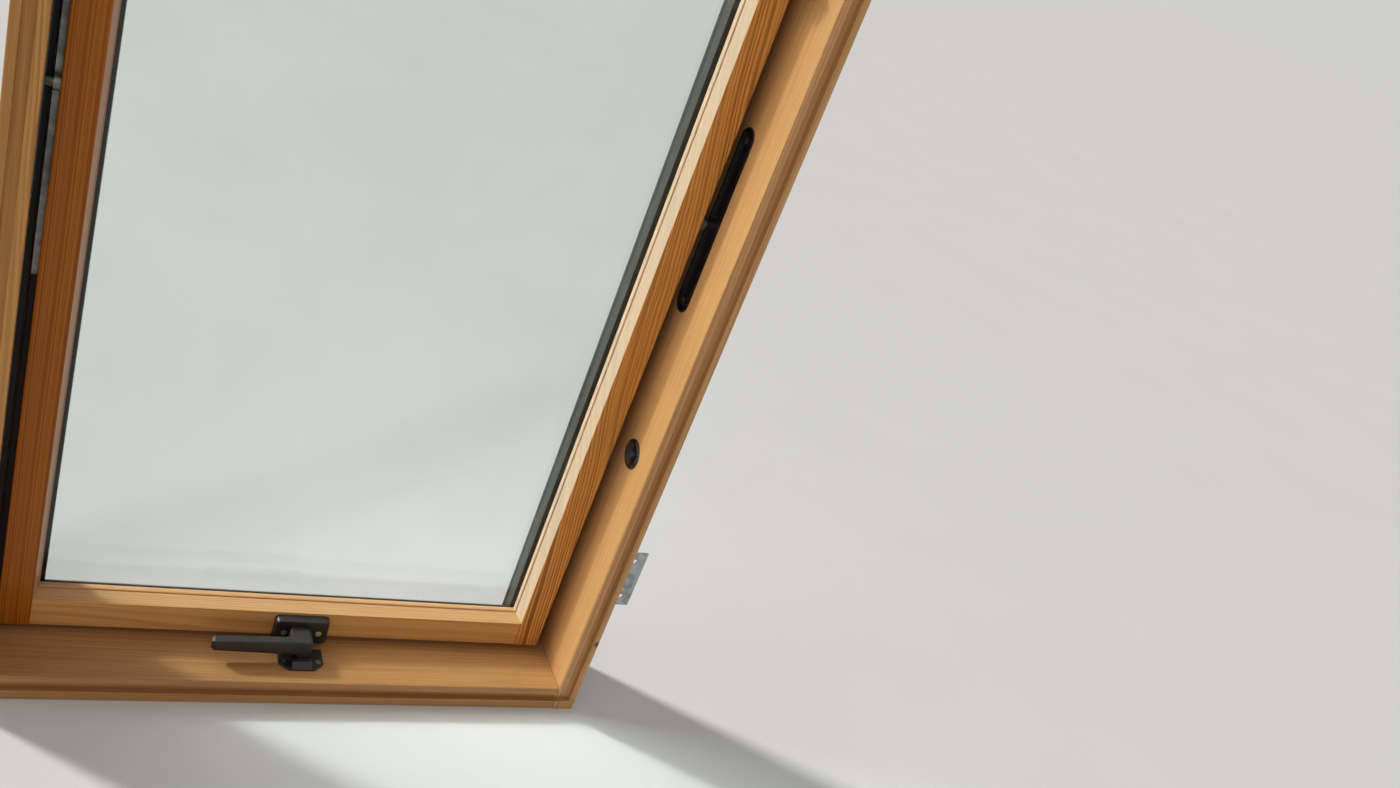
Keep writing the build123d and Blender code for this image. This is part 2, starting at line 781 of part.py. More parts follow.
def handle_spindle():
    """The headed pin that holds the lever to the base."""
    neck_y = handle_front_y - lever_running_gap
    head_y = sash_face_y - spindle_head_thickness - spindle_end_play
    pin = rod_y(spindle_radius, neck_y - spindle_grip, head_y, handle_x, handle_z)
    return pin + rod_y(spindle_head_radius, head_y, sash_face_y - spindle_end_play, handle_x, handle_z)


def lever_section(x, thickness, height):
    """A cross-section of the lever's arm, with round corners."""
    middle = (x, lever_front_y + arm_bar_thickness / 2, handle_z)
    return Plane(origin=middle, x_dir=(0, 1, 0), z_dir=(-1, 0, 0)) * RectangleRounded(
        thickness, height, lever_edge
    )


def handle_lever():
    """The cast lever: a neck off the base, an arm to the left and a tongue underneath."""
    neck_x = handle_x - neck_offset
    left = neck_x - neck_width / 2
    tip = handle_x - lever_length
    neck_y = handle_front_y - lever_running_gap
    back_y = lever_front_y + arm_bar_thickness
    neck_face = Plane(origin=(neck_x, neck_y, handle_z), x_dir=(1, 0, 0), z_dir=(0, -1, 0))
    neck = extrude(
        neck_face * RectangleRounded(neck_width, lever_height, lever_heel_radius), neck_y - lever_front_y
    )
    neck = fillet(neck.faces().sort_by(Axis.Y)[0].edges(), lever_edge)
    arm = loft(
        [
            lever_section(handle_x, arm_bar_thickness, lever_height),
            lever_section(left - neck_flare, arm_bar_thickness, lever_height),
            lever_section(tip + lever_tip_round, arm_bar_thickness, lever_tip_height),
            lever_section(tip, arm_bar_thickness - lever_tip_taper, lever_tip_height - lever_tip_taper),
        ],
        ruled=True,
    )
    flare_half = lever_height / 2 - lever_edge
    flare = drawn_z(
        [
            (left - neck_flare, back_y - lever_edge), (handle_x, back_y - lever_edge),
            (handle_x, neck_y - lever_heel_radius), (left, neck_y - lever_heel_radius), (left - neck_flare, back_y),
        ],
        handle_z - flare_half, handle_z + flare_half,
    )
    tongue = block(
        handle_x - tongue_width / 2, handle_x + tongue_width / 2,
        lever_front_y, lever_front_y + tongue_thickness, handle_z - tongue_radius, handle_z,
    )
    tongue = tongue & rod_y(tongue_radius, lever_front_y - beyond, neck_y, handle_x, handle_z)
    bore = rod_y(
        spindle_radius + spindle_in_lever, neck_y - spindle_grip, neck_y + beyond, handle_x, handle_z
    )
    return neck + arm + flare + tongue - bore


strike_y0 = sash_face_y - strike_room_edge
keeper_y0 = sash_face_y - keeper_room_edge
strike_screw_y = strike_y0 + strike_screw_inset
strike_screw_places = [
    (handle_x + side * handle_screw_spacing / 2, strike_screw_y, sill_thickness + strike_base)
    for side in (-1, 1)
]


def strike_plate():
    """The strike on the sill: a plate with cut corners and a keeper block slotted for the tongue."""
    half = strike_width / 2
    y1 = strike_y0 + strike_depth
    plan = [
        (handle_x - half, y1), (handle_x - half, strike_y0 + strike_corner),
        (handle_x - half + strike_corner, strike_y0), (handle_x + half - strike_corner, strike_y0),
        (handle_x + half, strike_y0 + strike_corner), (handle_x + half, y1),
    ]
    base_top = sill_thickness + strike_base
    base = drawn_z(plan, sill_thickness, base_top)
    base = fillet(base.faces().sort_by(Axis.Z)[-1].edges(), strike_edge)
    top = sill_thickness + keeper_height
    section = [
        (keeper_y0, base_top), (keeper_y0 + keeper_slope, top),
        (keeper_y0 + keeper_depth, top), (keeper_y0 + keeper_depth, base_top),
    ]
    keeper = drawn_x(section, handle_x - keeper_width / 2, handle_x + keeper_width / 2)
    keeper = fillet([edge for edge in keeper.edges() if edge.center().Z > base_top + near], keeper_edge)
    slot = block(
        handle_x - keeper_width, handle_x + keeper_width,
        lever_front_y - keeper_slot_clearance, lever_front_y + tongue_thickness + keeper_slot_clearance,
        base_top, top + beyond,
    )
    return cut(base + (keeper - slot), screws(strike_screw, strike_screw_places, (0, 0, 1), screw_fit))


# Cleaning bolt: it meets its bush once the sash has turned right over
bolt_x1 = opening_half - bolt_tip_gap - bolt_travel
bolt_y = sash_face_y - bolt_standoff
bush_y = sash_face_y - bush_from_sash
bush_z = pivot_z - bush_below_pivot
bush_dy = bush_y - pivot_y
bolt_dy = bolt_y - pivot_y
bolt_z = pivot_z + sqrt(bush_below_pivot ** 2 + bush_dy ** 2 - bolt_dy ** 2)
reversed_angle = 180 + degrees(atan2(bolt_dy, bolt_z - pivot_z)) - degrees(atan2(-bush_dy, bush_below_pivot))
housing_x1 = sash_half - housing_setback
knob_x = housing_x1 - housing_length / 2 - bolt_travel / 2
housing_screw_places = [
    (
        housing_x1 - housing_length / 2, sash_face_y - housing_thickness,
        bolt_z + side * housing_screw_spacing / 2,
    )
    for side in (-1, 1)
]


def bolt_bush():
    """The bush in the right jamb: a round rim, a dish that leads inwards, and a deep bore."""
    crown_x = opening_half - bush_proud
    shoulder_radius, shoulder_height = bush_shoulder
    end = opening_half + bush_barrel_length
    outside = ThreePointArc(
        (crown_x, bush_crown_radius, 0), (opening_half - shoulder_height, shoulder_radius, 0),
        (opening_half, bush_flange_radius, 0),
    )
    rest = Polyline(
        (opening_half, bush_flange_radius, 0), (opening_half, bush_barrel_radius, 0),
        (end, bush_barrel_radius, 0), (end, bush_bore_radius, 0),
        (opening_half + bush_throat_depth, bush_bore_radius, 0),
        (opening_half + bush_mouth_depth, bush_mouth_radius, 0), (crown_x, bush_crown_radius, 0),
    )
    section = make_face([outside] + rest.edges())
    return Pos(0, bush_y, bush_z) * revolve(section, axis=Axis.X)


def bush_hole():
    """The hole for the bush's barrel in the right jamb."""
    return rod_x(
        bush_barrel_radius + hardware_fit, opening_half - beyond,
        opening_half + bush_barrel_length + hardware_fit, bush_y, bush_z,
    )


def bolt_housing():
    """The bolt's housing on the right stile, slotted in front for the knob."""
    y0 = sash_face_y - housing_thickness
    shape = block(
        housing_x1 - housing_length, housing_x1, y0, sash_face_y,
        bolt_z - housing_height / 2, bolt_z + housing_height / 2,
    )
    room_edges = [
        edge for edge in shape.edges().filter_by(Axis.X) if edge.center().Y < y0 + near
    ]
    shape = fillet(room_edges, housing_edge)
    bore = rod_x(
        bolt_radius + bolt_in_housing, housing_x1 - housing_length - beyond, housing_x1 + beyond,
        bolt_y, bolt_z,
    )
    reach = knob_radius + knob_slot_clearance
    slot = block(
        knob_x - reach, knob_x + bolt_travel + reach, y0 - beyond, bolt_y, bolt_z - reach, bolt_z + reach
    )
    return cut(shape, [bore, slot] + screws(housing_screw, housing_screw_places, (0, -1, 0), screw_fit))


def cleaning_bolt():
    """The bolt, with a round nose."""
    shape = rod_x(bolt_radius, bolt_x1 - bolt_length, bolt_x1, bolt_y, bolt_z)
    shape = fillet(shape.edges().sort_by(Axis.X)[-1], bolt_nose)
    return shape - rod_y(
        knob_radius + pin_in_arm, bolt_y - bolt_radius - beyond, bolt_y, knob_x, bolt_z
    )


def bolt_knob():
    """The turned knob, driven into the bolt through the housing's slot."""
    y0 = bolt_y - knob_reach
    stem = rod_y(knob_radius, y0, bolt_y, knob_x, bolt_z)
    head = rod_y(knob_head_radius, y0 - knob_head_thickness, y0, knob_x, bolt_z)
    return stem + fillet(head.edges().filter_by(GeomType.CIRCLE), knob_edge)


# Mounting brackets
bracket_x = frame_width / 2 + bracket_roof_leg / 2 + bracket_sheet
bracket_places = {
    "lower": bracket_from_end,
    "upper": frame_height - bracket_from_end,
}


def bracket(z):
    """A right-hand bracket: one leg on the jamb's side, the other flat on the roof."""
    middle = frame_width / 2 + bracket_sheet / 2
    roof_y = bracket_depth + bracket_sheet / 2
    line = [
        (middle, bracket_depth + bracket_wood_leg), (middle, roof_y),
        (middle + bracket_roof_leg, roof_y),
    ]
    shape = folded_z(
        line, z - bracket_height / 2, z + bracket_height / 2, bracket_bend_radius, bracket_sheet
    )
    holes = [
        rod_y(
            bracket_hole_radius, bracket_depth - beyond, bracket_depth + bracket_sheet + beyond,
            bracket_x, z,
        )
    ]
    for side in (-1, 1):
        slot = Plane(
            origin=(bracket_x, bracket_depth - beyond, z + side * bracket_hole_spacing),
            x_dir=(1, 0, 0), z_dir=(0, 1, 0),
        ) * SlotOverall(bracket_slot_length + 2 * bracket_hole_radius, 2 * bracket_hole_radius)
        holes.append(extrude(slot, bracket_sheet + 2 * beyond, dir=(0, 1, 0)))
    return cut(shape, holes + screws(bracket_screw, bracket_screw_places(z), (1, 0, 0), screw_fit))


def bracket_screw_places(z):
    """The three screws that hold a right-hand bracket to its jamb."""
    x = frame_width / 2 + bracket_sheet
    y = bracket_depth + bracket_wood_leg / 2 + bracket_bend_radius
    return [(x, y, z + side * bracket_hole_spacing) for side in (-1, 0, 1)]


# Frame members with every recess and screw hole
all_bracket_screws = [place for z in bracket_places.values() for place in bracket_screw_places(z)]
right_jamb = cut(
    jamb(),
    [hinge_recess()]
    + screws(plate_screw, plate_screw_places, (-1, 0, 0), screw_fit)
    + screws(bracket_screw, all_bracket_screws, (1, 0, 0), screw_fit),
)
save("frame_jamb_left", other_side(right_jamb))
save("frame_jamb_right", right_jamb - bush_hole())
save("frame_sill", cut(sill(), screws(strike_screw, strike_screw_places, (0, 0, 1), screw_fit)))
save("frame_head", head())
save("frame_seal", frame_seal())

# Sash members with every screw hole
right_stile = cut(stile(), screws(arm_screw, arm_screw_places, (1, 0, 0), screw_fit))
save("sash_stile_left", other_side(right_stile))
save("sash_stile_right", cut(right_stile, screws(housing_screw, housing_screw_places, (0, -1, 0), screw_fit)))
bottom_rail = rail(sash_z0, arris_z0, arris_z0, 1, sash_z0)
save("sash_bottom_rail", cut(bottom_rail, screws(handle_screw, handle_screw_places, (0, -1, 0), screw_fit)))
save("sash_top_rail", rail(arris_z1, sash_z1, arris_z1, -1, sash_z1))
save("sash_seal", sash_seal())

save("inner_pane", pane(inner_pane_y))
save("outer_pane", pane(outer_pane_y))
save("spacer_frame", spacer_frame())
save("edge_seal", edge_seal())
save("glazing_gasket_inner", inner_gasket())
save("glazing_gasket_outer", outer_gasket())
save("setting_blocks", setting_blocks())

save("sash_cover_right", sash_side_cover())
save("sash_cover_left", other_side(sash_side_cover()))
save("sash_cover_top", sash_top_cover())
save("sash_cover_bottom", sash_bottom_cover())
cover_split_z = pivot_z
for part_name, z0, z1 in (
    ("lower", 0, cover_split_z - cover_joint),
    ("upper", cover_split_z + cover_joint, frame_height - cover_joint),
):
    side_cover = frame_side_cover(z0, z1)
    save(f"frame_cover_right_{part_name}", side_cover)
    save(f"frame_cover_left_{part_name}", other_side(side_cover))
save("frame_cover_sill", frame_sill_cover())
save("frame_hood", hood())

save("hinge_plate_right", hinge_plate())
save("hinge_plate_left", other_side(hinge_plate()))
save("hinge_arm_right", hinge_arm())
save("hinge_arm_left", other_side(hinge_arm()))
save("pivot_pin_right", pivot_pin())
save("pivot_pin_left", other_side(pivot_pin()))
right_plate_screws = screws(plate_screw, plate_screw_places, (-1, 0, 0))
save("hinge_plate_screws", right_plate_screws + [other_side(one) for one in right_plate_screws])
right_arm_screws = screws(arm_screw, arm_screw_places, (1, 0, 0))
save("hinge_arm_screws", right_arm_screws + [other_side(one) for one in right_arm_screws])

save("handle_base", handle_base())
save("handle_spindle", handle_spindle())
save("handle_lever", handle_lever())
save("handle_screws", screws(handle_screw, handle_screw_places, (0, -1, 0)))
save("strike_plate", strike_plate())
save("strike_screws", screws(strike_screw, strike_screw_places, (0, 0, 1)))

save("bolt_bush", bolt_bush())
save("bolt_housing", bolt_housing())
save("cleaning_bolt", cleaning_bolt())
save("bolt_knob", bolt_knob())
save("bolt_housing_screws", screws(housing_screw, housing_screw_places, (0, -1, 0)))

for part_name, z in bracket_places.items():
    save(f"bracket_right_{part_name}", bracket(z))
    save(f"bracket_left_{part_name}", other_side(bracket(z)))
right_bracket_screws = screws(bracket_screw, all_bracket_screws, (1, 0, 0))
save("bracket_screws", right_bracket_screws + [other_side(one) for one in right_bracket_screws])

print("pivot y, z:", pivot_y, pivot_z)
print("sash turns over by", round(reversed_angle, 2), "degrees")
print("bolt axis z:", round(bolt_z, 2), " bush y, z:", bush_y, bush_z)
print("bracket hole x, y:", bracket_x, bracket_depth)
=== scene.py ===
# %% [markdown]
# # A centre-pivot roof window of lacquered pine
#
# The real window is a pine frame with a pine sash that turns about two side pins. The sash holds a sealed
# pair of glass panes. A cast lever at the bottom shuts it, and thin coated sheet covers the wood on the
# weather side.
#
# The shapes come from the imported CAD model. This lesson dresses them: it makes the small screws and the
# lips of the seals by hand in edit mode, gives every piece a finish built from shader nodes, and sets a
# camera, a floor, a world and lamps.

from math import pi, radians

import bpy
from mathutils import Matrix, Vector


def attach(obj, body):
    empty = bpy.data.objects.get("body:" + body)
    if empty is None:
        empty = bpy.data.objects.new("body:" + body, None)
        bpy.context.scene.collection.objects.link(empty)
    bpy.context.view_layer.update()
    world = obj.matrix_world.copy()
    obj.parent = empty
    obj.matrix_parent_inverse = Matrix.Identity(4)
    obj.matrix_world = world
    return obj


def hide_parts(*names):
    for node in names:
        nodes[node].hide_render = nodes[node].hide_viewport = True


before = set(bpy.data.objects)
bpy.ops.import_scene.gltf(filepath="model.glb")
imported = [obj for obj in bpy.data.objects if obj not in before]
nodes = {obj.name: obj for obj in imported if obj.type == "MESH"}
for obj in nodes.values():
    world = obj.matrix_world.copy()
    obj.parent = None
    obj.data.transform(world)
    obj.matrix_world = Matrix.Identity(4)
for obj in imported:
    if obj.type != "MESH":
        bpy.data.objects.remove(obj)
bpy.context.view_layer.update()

# %% [markdown]
# ## The camera
#
# The window stands upright here, but in its roof it leans back, and it is looked at from the left, from
# above the sill, with the camera turned. So the camera's three axes are written out instead of being aimed
# with a constraint: right, down and forward, as unit vectors in the window's own directions. A small lens
# shift keeps the long edges running as they do in a picture that was trimmed at one side.

# %% Place the camera
camera_data = bpy.data.cameras.new("view_from_the_room")
camera_data.sensor_width = 36.0
camera_data.lens = 31.48
camera_data.shift_x = 0.0571
camera_data.shift_y = 0.04
camera_data.clip_end = 100.0
camera = bpy.data.objects.new("view_from_the_room", camera_data)
bpy.context.scene.collection.objects.link(camera)

look_right = Vector((0.8917, -0.3131, 0.3270))
look_down = Vector((0.1081, -0.5541, -0.8254))
look_forward = Vector((0.4396, 0.7713, -0.4602))
turned = Matrix((look_right, -look_down, -look_forward)).transposed().to_4x4()
standpoint = (-0.3447, -1.2110, 1.1134)
camera.matrix_world = Matrix.Translation(standpoint) @ turned
bpy.context.scene.camera = camera
print("camera at", [round(v, 3) for v in camera.location], "lens", camera_data.lens, "mm")

# %% [markdown]
# ## Working by hand
#
# A new primitive comes in selected all over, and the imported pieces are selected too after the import. Every
# step here starts by letting go of everything, and then takes hold of the faces or edges it needs by their
# place. These small helpers do that, so that each later cell reads like the moves of a hand.


# %% Helpers for edit mode
def let_go():
    """Leave edit mode and deselect every object."""
    if bpy.context.object and bpy.context.object.mode == "EDIT":
        bpy.ops.object.mode_set(mode="OBJECT")
    bpy.ops.object.select_all(action="DESELECT")


def take(piece):
    """Make one piece the active and only selected object."""
    let_go()
    piece.select_set(True)
    bpy.context.view_layer.objects.active = piece


def hold_faces(piece, wanted):
    """In edit mode, select just the faces whose centre and normal pass the test."""
    bpy.ops.object.mode_set(mode="EDIT")
    bpy.ops.mesh.select_mode(type="FACE")
    bpy.ops.mesh.select_all(action="DESELECT")
    bpy.ops.object.mode_set(mode="OBJECT")
    for face in piece.data.polygons:
        face.select = wanted(face.center, face.normal)
    bpy.ops.object.mode_set(mode="EDIT")


def hold_edges(piece, wanted):
    """In edit mode, select just the edges whose two ends pass the test."""
    bpy.ops.object.mode_set(mode="EDIT")
    bpy.ops.mesh.select_mode(type="EDGE")
    bpy.ops.mesh.select_all(action="DESELECT")
    bpy.ops.object.mode_set(mode="OBJECT")
    points = piece.data.vertices
    for edge in piece.data.edges:
        edge.select = wanted(points[edge.vertices[0]].co, points[edge.vertices[1]].co)
    bpy.ops.object.mode_set(mode="EDIT")


def settle(piece):
    """Put the object's place into its mesh, so that the object itself sits at the origin."""
    take(piece)
    bpy.ops.object.transform_apply(location=True, rotation=True, scale=True)
    return piece


def shade(piece):
    """Shade a piece smooth, and keep the edges where it turns by more than 30 degrees crisp."""
    take(piece)
    bpy.ops.object.shade_smooth_by_angle(angle=radians(30))


print("helpers ready")

# %% [markdown]
# ## Countersunk cross-head screws
#
# Six groups of wood screws hold the fittings. Each has a flat head with a cone under it, a shank and a
# point, and a cross-shaped recess for the driver. A profile spun round its axis would give the same body,
# but pushed faces keep each step of it in sight: the head starts as a short cylinder, and its underside is
# pushed down and drawn in three times, for the cone, the shank and the point. The recess is cut with two
# crossed blades that narrow towards their tip, because a boolean leaves the crisp walls of a punched
# recess. One screw of each size is modelled, and the others are copies of its mesh.


# %% Turn one screw
hair = 1e-6  # metres; what is nearer than this is level
edge_round = 0.00012


def turned_screw(name, head, shank, length):
    """A screw along -Z with its head level with the origin; sizes are radii and length in metres."""
    rim = 0.0002
    cone = head - shank - rim
    point = 3 * shank
    bpy.ops.mesh.primitive_cylinder_add(vertices=32, radius=head, depth=rim, location=(0, 0, -rim / 2))
    screw = bpy.context.object
    screw.name = name
    settle(screw)
    steps = [(shank / head, cone), (1.0, length - rim - cone - point), (0.08, point)]
    for size, drop in steps:
        lowest = min(v.co.z for v in screw.data.vertices)
        hold_faces(screw, lambda centre, normal: normal.z < -0.9 and centre.z < lowest + hair)
        bpy.ops.mesh.extrude_region_move(TRANSFORM_OT_translate={"value": (0, 0, -drop)})
        bpy.ops.transform.resize(value=(size, size, 1))
        bpy.ops.object.mode_set(mode="OBJECT")
    hold_edges(screw, lambda a, b: a.z > -hair and b.z > -hair)
    bpy.ops.mesh.bevel(offset=edge_round, segments=2, affect="EDGES")
    bpy.ops.object.mode_set(mode="OBJECT")
    return screw


# %% Cut the cross recess
def driver_blade(head, turn):
    """One of the two blades that cut the recess: it stands proud of the head and narrows downwards."""
    wide, thin, deep = head * 1.12, head * 0.26, head * 0.62
    proud = 0.0004
    middle = (0, 0, (proud - deep) / 2)
    bpy.ops.mesh.primitive_cube_add(size=1, location=middle, scale=(wide, thin, deep + proud))
    blade = bpy.context.object
    settle(blade)
    hold_faces(blade, lambda centre, normal: normal.z < -0.9)
    bpy.ops.transform.resize(value=(0.34, 0.7, 1))
    bpy.ops.mesh.select_all(action="SELECT")
    bpy.ops.transform.rotate(value=turn, orient_axis="Z", center_override=(0, 0, 0))
    bpy.ops.object.mode_set(mode="OBJECT")
    return blade


def cross_head_screw(name, head, shank, length):
    """A turned screw with its recess cut, shaded smooth."""
    screw = turned_screw(name, head, shank, length)
    for turn in (radians(20), radians(110)):
        blade = driver_blade(head, turn)
        take(screw)
        cutting = screw.modifiers.new("recess", "BOOLEAN")
        cutting.operation = "DIFFERENCE"
        cutting.object = blade
        cutting.solver = "EXACT"
        bpy.ops.object.modifier_apply(modifier="recess")
        bpy.data.objects.remove(blade)
    shade(screw)
    return screw


# %% [markdown]
# The groups follow the fittings, and so do the lists of places: each head has the point where it sits and
# the direction that it faces. Left and right, or below and above, are the two signs of one distance, so
# that each distance is written once. The table then gives each group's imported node, the body that it moves
# with, and the head's radius, the shank's radius and the length of its screws. All sizes are in
# millimetres, as in the CAD model.

# %% Where the screws of the lever and its strike sit
sides = (-1, 1)
lever_x, half_pitch = 8, 22
base_y, base_z = 3.5, 57.7
lever_heads = [((lever_x + s * half_pitch, base_y, base_z), (0, -1, 0)) for s in sides]
strike_y, strike_z = -28, 39
strike_heads = [((lever_x + s * half_pitch, strike_y, strike_z), (0, 0, 1)) for s in sides]
print("screws at the lever:", len(lever_heads), "and at its strike:", len(strike_heads))

# %% Where the screws of the hinges sit
plate_x, plate_y, plate_z, plate_reach = 358, 14, 707, 103
plate_places = [(s, plate_z + t * plate_reach) for s in sides for t in sides]
plate_heads = [((s * plate_x, plate_y, z), (-s, 0, 0)) for s, z in plate_places]
arm_x, arm_y, pivot_z = 351, 33.75, 700
arm_places = [(s, pivot_z + t * off) for s in sides for t in sides for off in (60, 175)]
arm_heads = [((s * arm_x, arm_y, z), (s, 0, 0)) for s, z in arm_places]
print("screws in the bearing plates:", len(plate_heads), "and in the arms:", len(arm_heads))

# %% Where the screws of the bolt housing and the brackets sit
housing_x, housing_y, bolt_z, housing_reach = 327, -2, 1008.18, 7.5
housing_heads = [((housing_x, housing_y, bolt_z + t * housing_reach), (0, -1, 0)) for t in sides]
bracket_x, bracket_y, row_step = 392, 8, 30
bracket_places = [(s, z + row * row_step) for s in sides for z in (200, 1200) for row in (-1, 0, 1)]
bracket_heads = [((s * bracket_x, bracket_y, z), (s, 0, 0)) for s, z in bracket_places]
print("screws in the bolt housing:", len(housing_heads), "and in the brackets:", len(bracket_heads))

# %% Sizes of the screws
screw_groups = {
    "handle_screws": ("sash", (4.0, 2.0, 34.0), lever_heads),
    "strike_screws": ("frame", (3.6, 1.9, 22.0), strike_heads),
    "hinge_plate_screws": ("frame", (4.0, 2.0, 24.0), plate_heads),
    "hinge_arm_screws": ("sash", (4.2, 2.1, 26.0), arm_heads),
    "bolt_housing_screws": ("sash", (2.8, 1.4, 28.0), housing_heads),
    "bracket_screws": ("frame", (4.5, 2.3, 24.0), bracket_heads),
}
print("groups of screws:", len(screw_groups))

# %% [markdown]
# A copied screw is turned to face out of its fitting and moved to its place. A row of recesses that all
# point the same way looks stamped, so each screw is also stopped a little further round than the one
# before. The whole group is then joined into one piece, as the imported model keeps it, and that piece stands
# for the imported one.


# %% Copy a screw to its places
def facing(direction):
    """The turn that brings a screw's +Z to the given direction."""
    return Vector((0, 0, 1)).rotation_difference(Vector(direction)).to_matrix().to_4x4()


stop_step = 0.9  # radians


def driven(pattern, places):
    """A copy of the screw at each place, each one stopped at another angle, as screws are."""
    copies = []
    for number, (place, direction) in enumerate(places):
        one = pattern.copy()
        one.data = pattern.data.copy()
        bpy.context.scene.collection.objects.link(one)
        stopped_at = Matrix.Rotation(number * stop_step, 4, "Z")
        one.matrix_world = Matrix.Translation(Vector(place) / 1000) @ facing(direction) @ stopped_at
        copies.append(one)
    bpy.data.objects.remove(pattern)
    return copies


# %% Drive the screws in
dressed_screws = {}
for group, (body, size, places) in screw_groups.items():
    head, shank, length = (value / 1000 for value in size)
    copies = driven(cross_head_screw(group + "_pattern", head, shank, length), places)
    take(copies[0])
    for one in copies:
        one.select_set(True)
    bpy.ops.object.join()
    piece = settle(bpy.context.object)
    piece.name = "dressed_" + group
    piece.data.name = piece.name
    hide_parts(group)
    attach(piece, body)
    dressed_screws[group] = piece
    print(group, "screws:", len(places), "faces:", len(piece.data.polygons))

# %% [markdown]
# ## The lips of the side seals
#
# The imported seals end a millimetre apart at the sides, so that the sash can turn without rubbing, and
# daylight would shine in between. On the real seal a soft lip closes that slit. A curve with a profile
# could draw it, but a lip this straight is easier to size as a bar. So each one starts as a flat bar on the
# tip of the seal's bead. Its free long edges are rounded, and its ends are drawn in a little where the
# rubber was cut.

# %% Shape one lip
lip_low, lip_high = 0.0445, 1.3555
lip_root, lip_tip = 0.3510, 0.35248
lip_middle, lip_thickness = 0.048, 0.0016
lip_round = 0.0005
cut_inset, cut_bulge = 0.0003, 0.0004


def side_lip(side):
    """The lip on one side, -1 for left and 1 for right."""
    bpy.ops.mesh.primitive_cube_add(
        size=1,
        location=(side * (lip_root + lip_tip) / 2, lip_middle, (lip_low + lip_high) / 2),
        scale=(lip_tip - lip_root, lip_thickness, lip_high - lip_low),
    )
    lip = settle(bpy.context.object)
    free_edge = lip_tip - 10 * hair
    hold_edges(lip, lambda a, b: min(abs(a.x), abs(b.x)) > free_edge and abs(a.z - b.z) > 0.1)
    bpy.ops.mesh.bevel(offset=lip_round, segments=3, affect="EDGES")
    bpy.ops.object.mode_set(mode="OBJECT")
    hold_faces(lip, lambda centre, normal: abs(normal.z) > 0.9)
    bpy.ops.mesh.inset(thickness=cut_inset, depth=cut_bulge)
    bpy.ops.object.mode_set(mode="OBJECT")
    return lip


# %% Add the lips
lips = [side_lip(side) for side in sides]
take(lips[0])
lips[1].select_set(True)
bpy.ops.object.join()
seal_lips = bpy.context.object
shade(seal_lips)
seal_lips.name = "seal_lips"
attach(seal_lips, "sash")
print("seal lips, faces:", len(seal_lips.data.polygons))

# %% [markdown]
# ## Building a finish from nodes
#
# Every finish is a Principled shader fed by a few textures. Nodes can be added one by one in the shader
# editor, but here each finish takes a dozen or more, so small helpers keep the later cells short. The first
# ones start a material, add a node with its values set by name, and link sockets.


# %% Start a material, add and link nodes
def new_finish(name):
    """A material with a bare Principled shader; gives the material, its tree and the shader."""
    finish = bpy.data.materials.new(name)
    finish.use_nodes = True
    tree = finish.node_tree
    return finish, tree, tree.nodes["Principled BSDF"]


def put(tree, kind, **values):
    """Add a node. Names of inputs set sockets, other names set the node's own properties."""
    made = tree.nodes.new("ShaderNode" + kind)
    for key, value in values.items():
        label = key.replace("_", " ")
        if label in made.inputs:
            made.inputs[label].default_value = value
        else:
            setattr(made, key, value)
    return made


def wire(tree, *pairs):
    """Link pairs of sockets, written one after the other."""
    for start, end in zip(pairs[::2], pairs[1::2]):
        tree.links.new(start, end)


# %% [markdown]
# The next ones turn one value into another: a colour ramp, a change of range, one sum, and a mix of two
# colours. A finish is mostly a chain of these.


# %% Ramps, ranges, sums and mixes
def ramp(tree, source, stops):
    """A colour ramp on a value; stops are (position, colour)."""
    made = put(tree, "ValToRGB")
    wire(tree, source, made.inputs[0])
    elements = made.color_ramp.elements
    while len(elements) < len(stops):
        elements.new(0.5)
    for element, (position, colour) in zip(elements, stops):
        element.position = position
        element.color = (*colour, 1)
    return made.outputs[0]


def span(tree, source, low, high, to_low, to_high):
    """Map a value from one range to another, held at its ends."""
    made = put(tree, "MapRange", From_Min=low, From_Max=high, To_Min=to_low, To_Max=to_high)
    wire(tree, source, made.inputs[0])
    return made.outputs[0]


def sums(tree, operation, first, second):
    """One math node; each side is a socket or a number."""
    made = put(tree, "Math", operation=operation)
    for socket, side in zip(made.inputs, (first, second)):
        if isinstance(side, (int, float)):
            socket.default_value = side
        else:
            wire(tree, side, socket)
    return made.outputs[0]


def mixed(tree, blend, share, first, second):
    """Mix two colours; share, and each colour, is a socket or a plain value. The node's sockets 6 and 7 take
    the colours, and its output 2 gives the result."""
    made = put(tree, "Mix", data_type="RGBA", blend_type=blend)
    for socket, side in ((made.inputs[0], share), (made.inputs[6], first), (made.inputs[7], second)):
        if isinstance(side, bpy.types.NodeSocket):
            wire(tree, side, socket)
        elif isinstance(side, tuple):
            socket.default_value = (*side, 1)
        else:
            socket.default_value = side
    return made.outputs[2]


# %% [markdown]
# The last ones read a place, make clouds of noise there, and raise the surface. They read Object
# coordinates, in metres, so a pattern keeps its real size on every piece and turns with the sash.


# %% Places, clouds and relief
def stretched(tree, scale, offset=(0, 0, 0), turn=(0, 0, 0)):
    """Object coordinates, moved, turned and scaled."""
    where = put(tree, "TexCoord")
    made = put(tree, "Mapping", Location=offset, Rotation=turn, Scale=scale)
    wire(tree, where.outputs["Object"], made.inputs[0])
    return made.outputs[0]


def evenly(tree, scale):
    """Object coordinates, scaled alike in every direction."""
    return stretched(tree, (scale, scale, scale))


def cloudy(tree, where, detail=2.0, roughness=0.5):
    """A soft noise value, with about one cloud in each unit of the given place."""
    made = put(tree, "TexNoise", Scale=1.0, Detail=detail, Roughness=roughness)
    wire(tree, where, made.inputs["Vector"])
    return made.outputs["Fac"]


def raised(tree, height, distance, strength, shader):
    """Use a value as height for the surface."""
    made = put(tree, "Bump", Strength=strength, Distance=distance)
    wire(tree, height, made.inputs["Height"], made.outputs[0], shader.inputs["Normal"])


